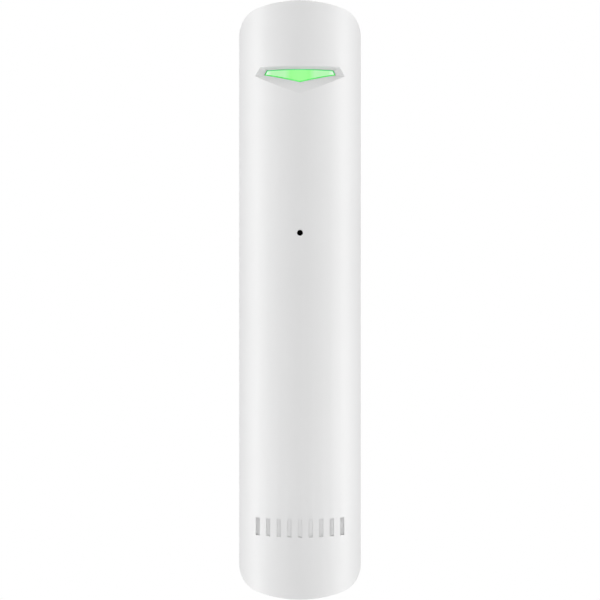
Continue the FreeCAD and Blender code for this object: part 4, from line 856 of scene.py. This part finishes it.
def blankLabel(look):
    # Cast polyester film, matt white and blank, with a thin printed frame
    material, tree, shader, spot = newMaterial("polyesterFilm", look["shader"])
    pastX, _, pastZ = pastBox(tree, spot, "identity_label")
    inside = addNode(tree, "ShaderNodeMath", {"operation": "MAXIMUM"}, {0: pastX, 1: pastZ})
    line = {"operation": "COMPARE", 1: -look["frameInset"], 2: look["frameWidth"] / 2}
    line = addNode(tree, "ShaderNodeMath", line, {0: inside})
    finish(tree, shader, spot, look, [(line, look["frame"])])
    return material


dress(blankLabel(label), "identity_label")
print("label dressed")

# Floor, well below the sensor: it hangs on a wall that isn't shown

floorLook = {
    "colour": "F2F2F2",
    "drop": 0.60,  # below the sensor's lower end
    "size": 8.0,
    "lift": 0.35,  # white that the camera and reflections see on top of the light it receives
    "fadeStart": 0.12,  # from here out the floor turns into the white backdrop
    "fadeEnd": 0.60,
    "shader": {"Roughness": 0.9, "Specular IOR Level": 0.0, "Emission Color": (1, 1, 1, 1)},
}


def seenWhite(tree):
    # 1 for the camera, reflections and clear pieces, and 0 for light that falls on things
    path = addNode(tree, "ShaderNodeLightPath").node.outputs
    seen = path["Is Camera Ray"]
    for name in ("Is Glossy Ray", "Is Transmission Ray"):
        seen = addNode(tree, "ShaderNodeMath", {"operation": "MAXIMUM"}, {0: seen, 1: path[name]})
    return seen


def makeFloor(look):
    # Matt white paper, which turns into the backdrop further out
    half, level = look["size"] / 2, cadBounds[0][2] - look["drop"]
    mesh = bpy.data.meshes.new("studioFloor")
    square = [(-half, -half), (half, -half), (half, half), (-half, half)]
    mesh.from_pydata([(x, y, level) for x, y in square], [], [(0, 1, 2, 3)])
    floor = bpy.data.objects.new("studioFloor", mesh)
    bpy.context.collection.objects.link(floor)
    material, tree, shader, spot = newMaterial("paperSweep", look["shader"])
    fade = {"From Min": look["fadeStart"] / mm, "From Max": look["fadeEnd"] / mm}
    far = addNode(tree, "ShaderNodeMapRange", fade, {"Value": reachIn(tree, spot, (1, 1, 0))})
    seen = seenWhite(tree)
    hidden = addNode(tree, "ShaderNodeMath", {"operation": "MULTIPLY"}, {0: far, 1: seen})
    paper = {"data_type": "RGBA", 6: linear(look["colour"]), 7: linear("000000")}
    paper = addNode(tree, "ShaderNodeMix", paper, {0: hidden}, 2)
    lifted = addNode(tree, "ShaderNodeMapRange", {"To Min": look["lift"]}, {"Value": far})
    strength = addNode(tree, "ShaderNodeMath", {"operation": "MULTIPLY"}, {0: lifted, 1: seen})
    tree.links.new(paper, shader.inputs["Base Color"])
    tree.links.new(strength, shader.inputs["Emission Strength"])
    mesh.materials.append(material)


makeFloor(floorLook)

# Studio: a broad light in front, one overhead, a back light for views from behind, and two tall
# narrow panels at each side, whose reflections are the bright bands down the round face

studio = {
    "ambient": 0.05,  # what the white room adds to the light
    # degrees round from the camera and up, distance, width, height, radiance
    "panels": {
        "front": (0, 0, 1.0, 0.8, 1.1, 2.12),
        "high": (0, 78, 0.8, 0.8, 0.8, 1.0),
        "left": (-86, 0, 0.6, 0.15, 1.1, 4.0),
        "right": (86, 0, 0.6, 0.15, 1.1, 4.0),
        "leftRear": (-95, 0, 0.6, 0.15, 1.1, 1.9),
        "rightRear": (95, 0, 0.6, 0.15, 1.1, 1.9),
        "back": (180, 0, 1.0, 0.6, 1.0, 3.8),
    },
}


def makeWorld(look):
    world = bpy.data.worlds.new("whiteRoom")
    world.use_nodes = True
    tree = world.node_tree
    tree.nodes.clear()
    strength = {"To Min": look["ambient"], "To Max": 1.0}
    strength = addNode(tree, "ShaderNodeMapRange", strength, {"Value": seenWhite(tree)})
    room = addNode(tree, "ShaderNodeBackground", {"Color": (1, 1, 1, 1)}, {"Strength": strength})
    addNode(tree, "ShaderNodeOutputWorld", links={"Surface": room})
    bpy.context.scene.world = world


def makePanels(look):
    # each panel faces the middle of the round front's axis
    axisDepth = cadBounds[0][1] + (cadBounds[1][0] - cadBounds[0][0]) / 2
    for name, (across, up, distance, width, height, radiance) in look["panels"].items():
        light = bpy.data.lights.new(name, "AREA")
        light.shape = "RECTANGLE"
        light.size, light.size_y = width, height
        light.energy = radiance * math.pi * width * height  # the power that gives that radiance
        turn, rise = math.radians(across), math.radians(up)
        level = math.cos(rise)
        away = Vector((math.sin(turn) * level, -math.cos(turn) * level, math.sin(rise)))
        lamp = bpy.data.objects.new(name, light)
        lamp.location = away * distance + Vector((0, axisDepth, 0))
        lamp.rotation_euler = away.to_track_quat("Z", "Y").to_euler()
        lamp.visible_camera = False
        bpy.context.collection.objects.link(lamp)


makeWorld(studio)
makePanels(studio)
print("studio lit")

# Camera, straight in front: the distance comes from how much the ends and the silhouette, which
# lie behind the crest, shrink in the photograph

view = {
    "distance": 0.274,  # from the crest
    "frameHeight": 0.0901,  # what the picture's height covers at the crest
    "sensor": 36.0,  # millimetres
    "nearest": 0.01,  # nothing nearer than this is drawn
}
camera = bpy.data.cameras.new("camera")
camera.sensor_width = view["sensor"]
camera.lens = view["sensor"] * view["distance"] / view["frameHeight"]
camera.clip_start = view["nearest"]
cameraObject = bpy.data.objects.new("camera", camera)
cameraObject.location = (0, cadBounds[0][1] - view["distance"], 0)
cameraObject.rotation_euler = (math.pi / 2, 0, 0)  # level, and looking along Y
bpy.context.collection.objects.link(cameraObject)
scene = bpy.context.scene
scene.camera = cameraObject
scene.view_settings.view_transform = "Standard"
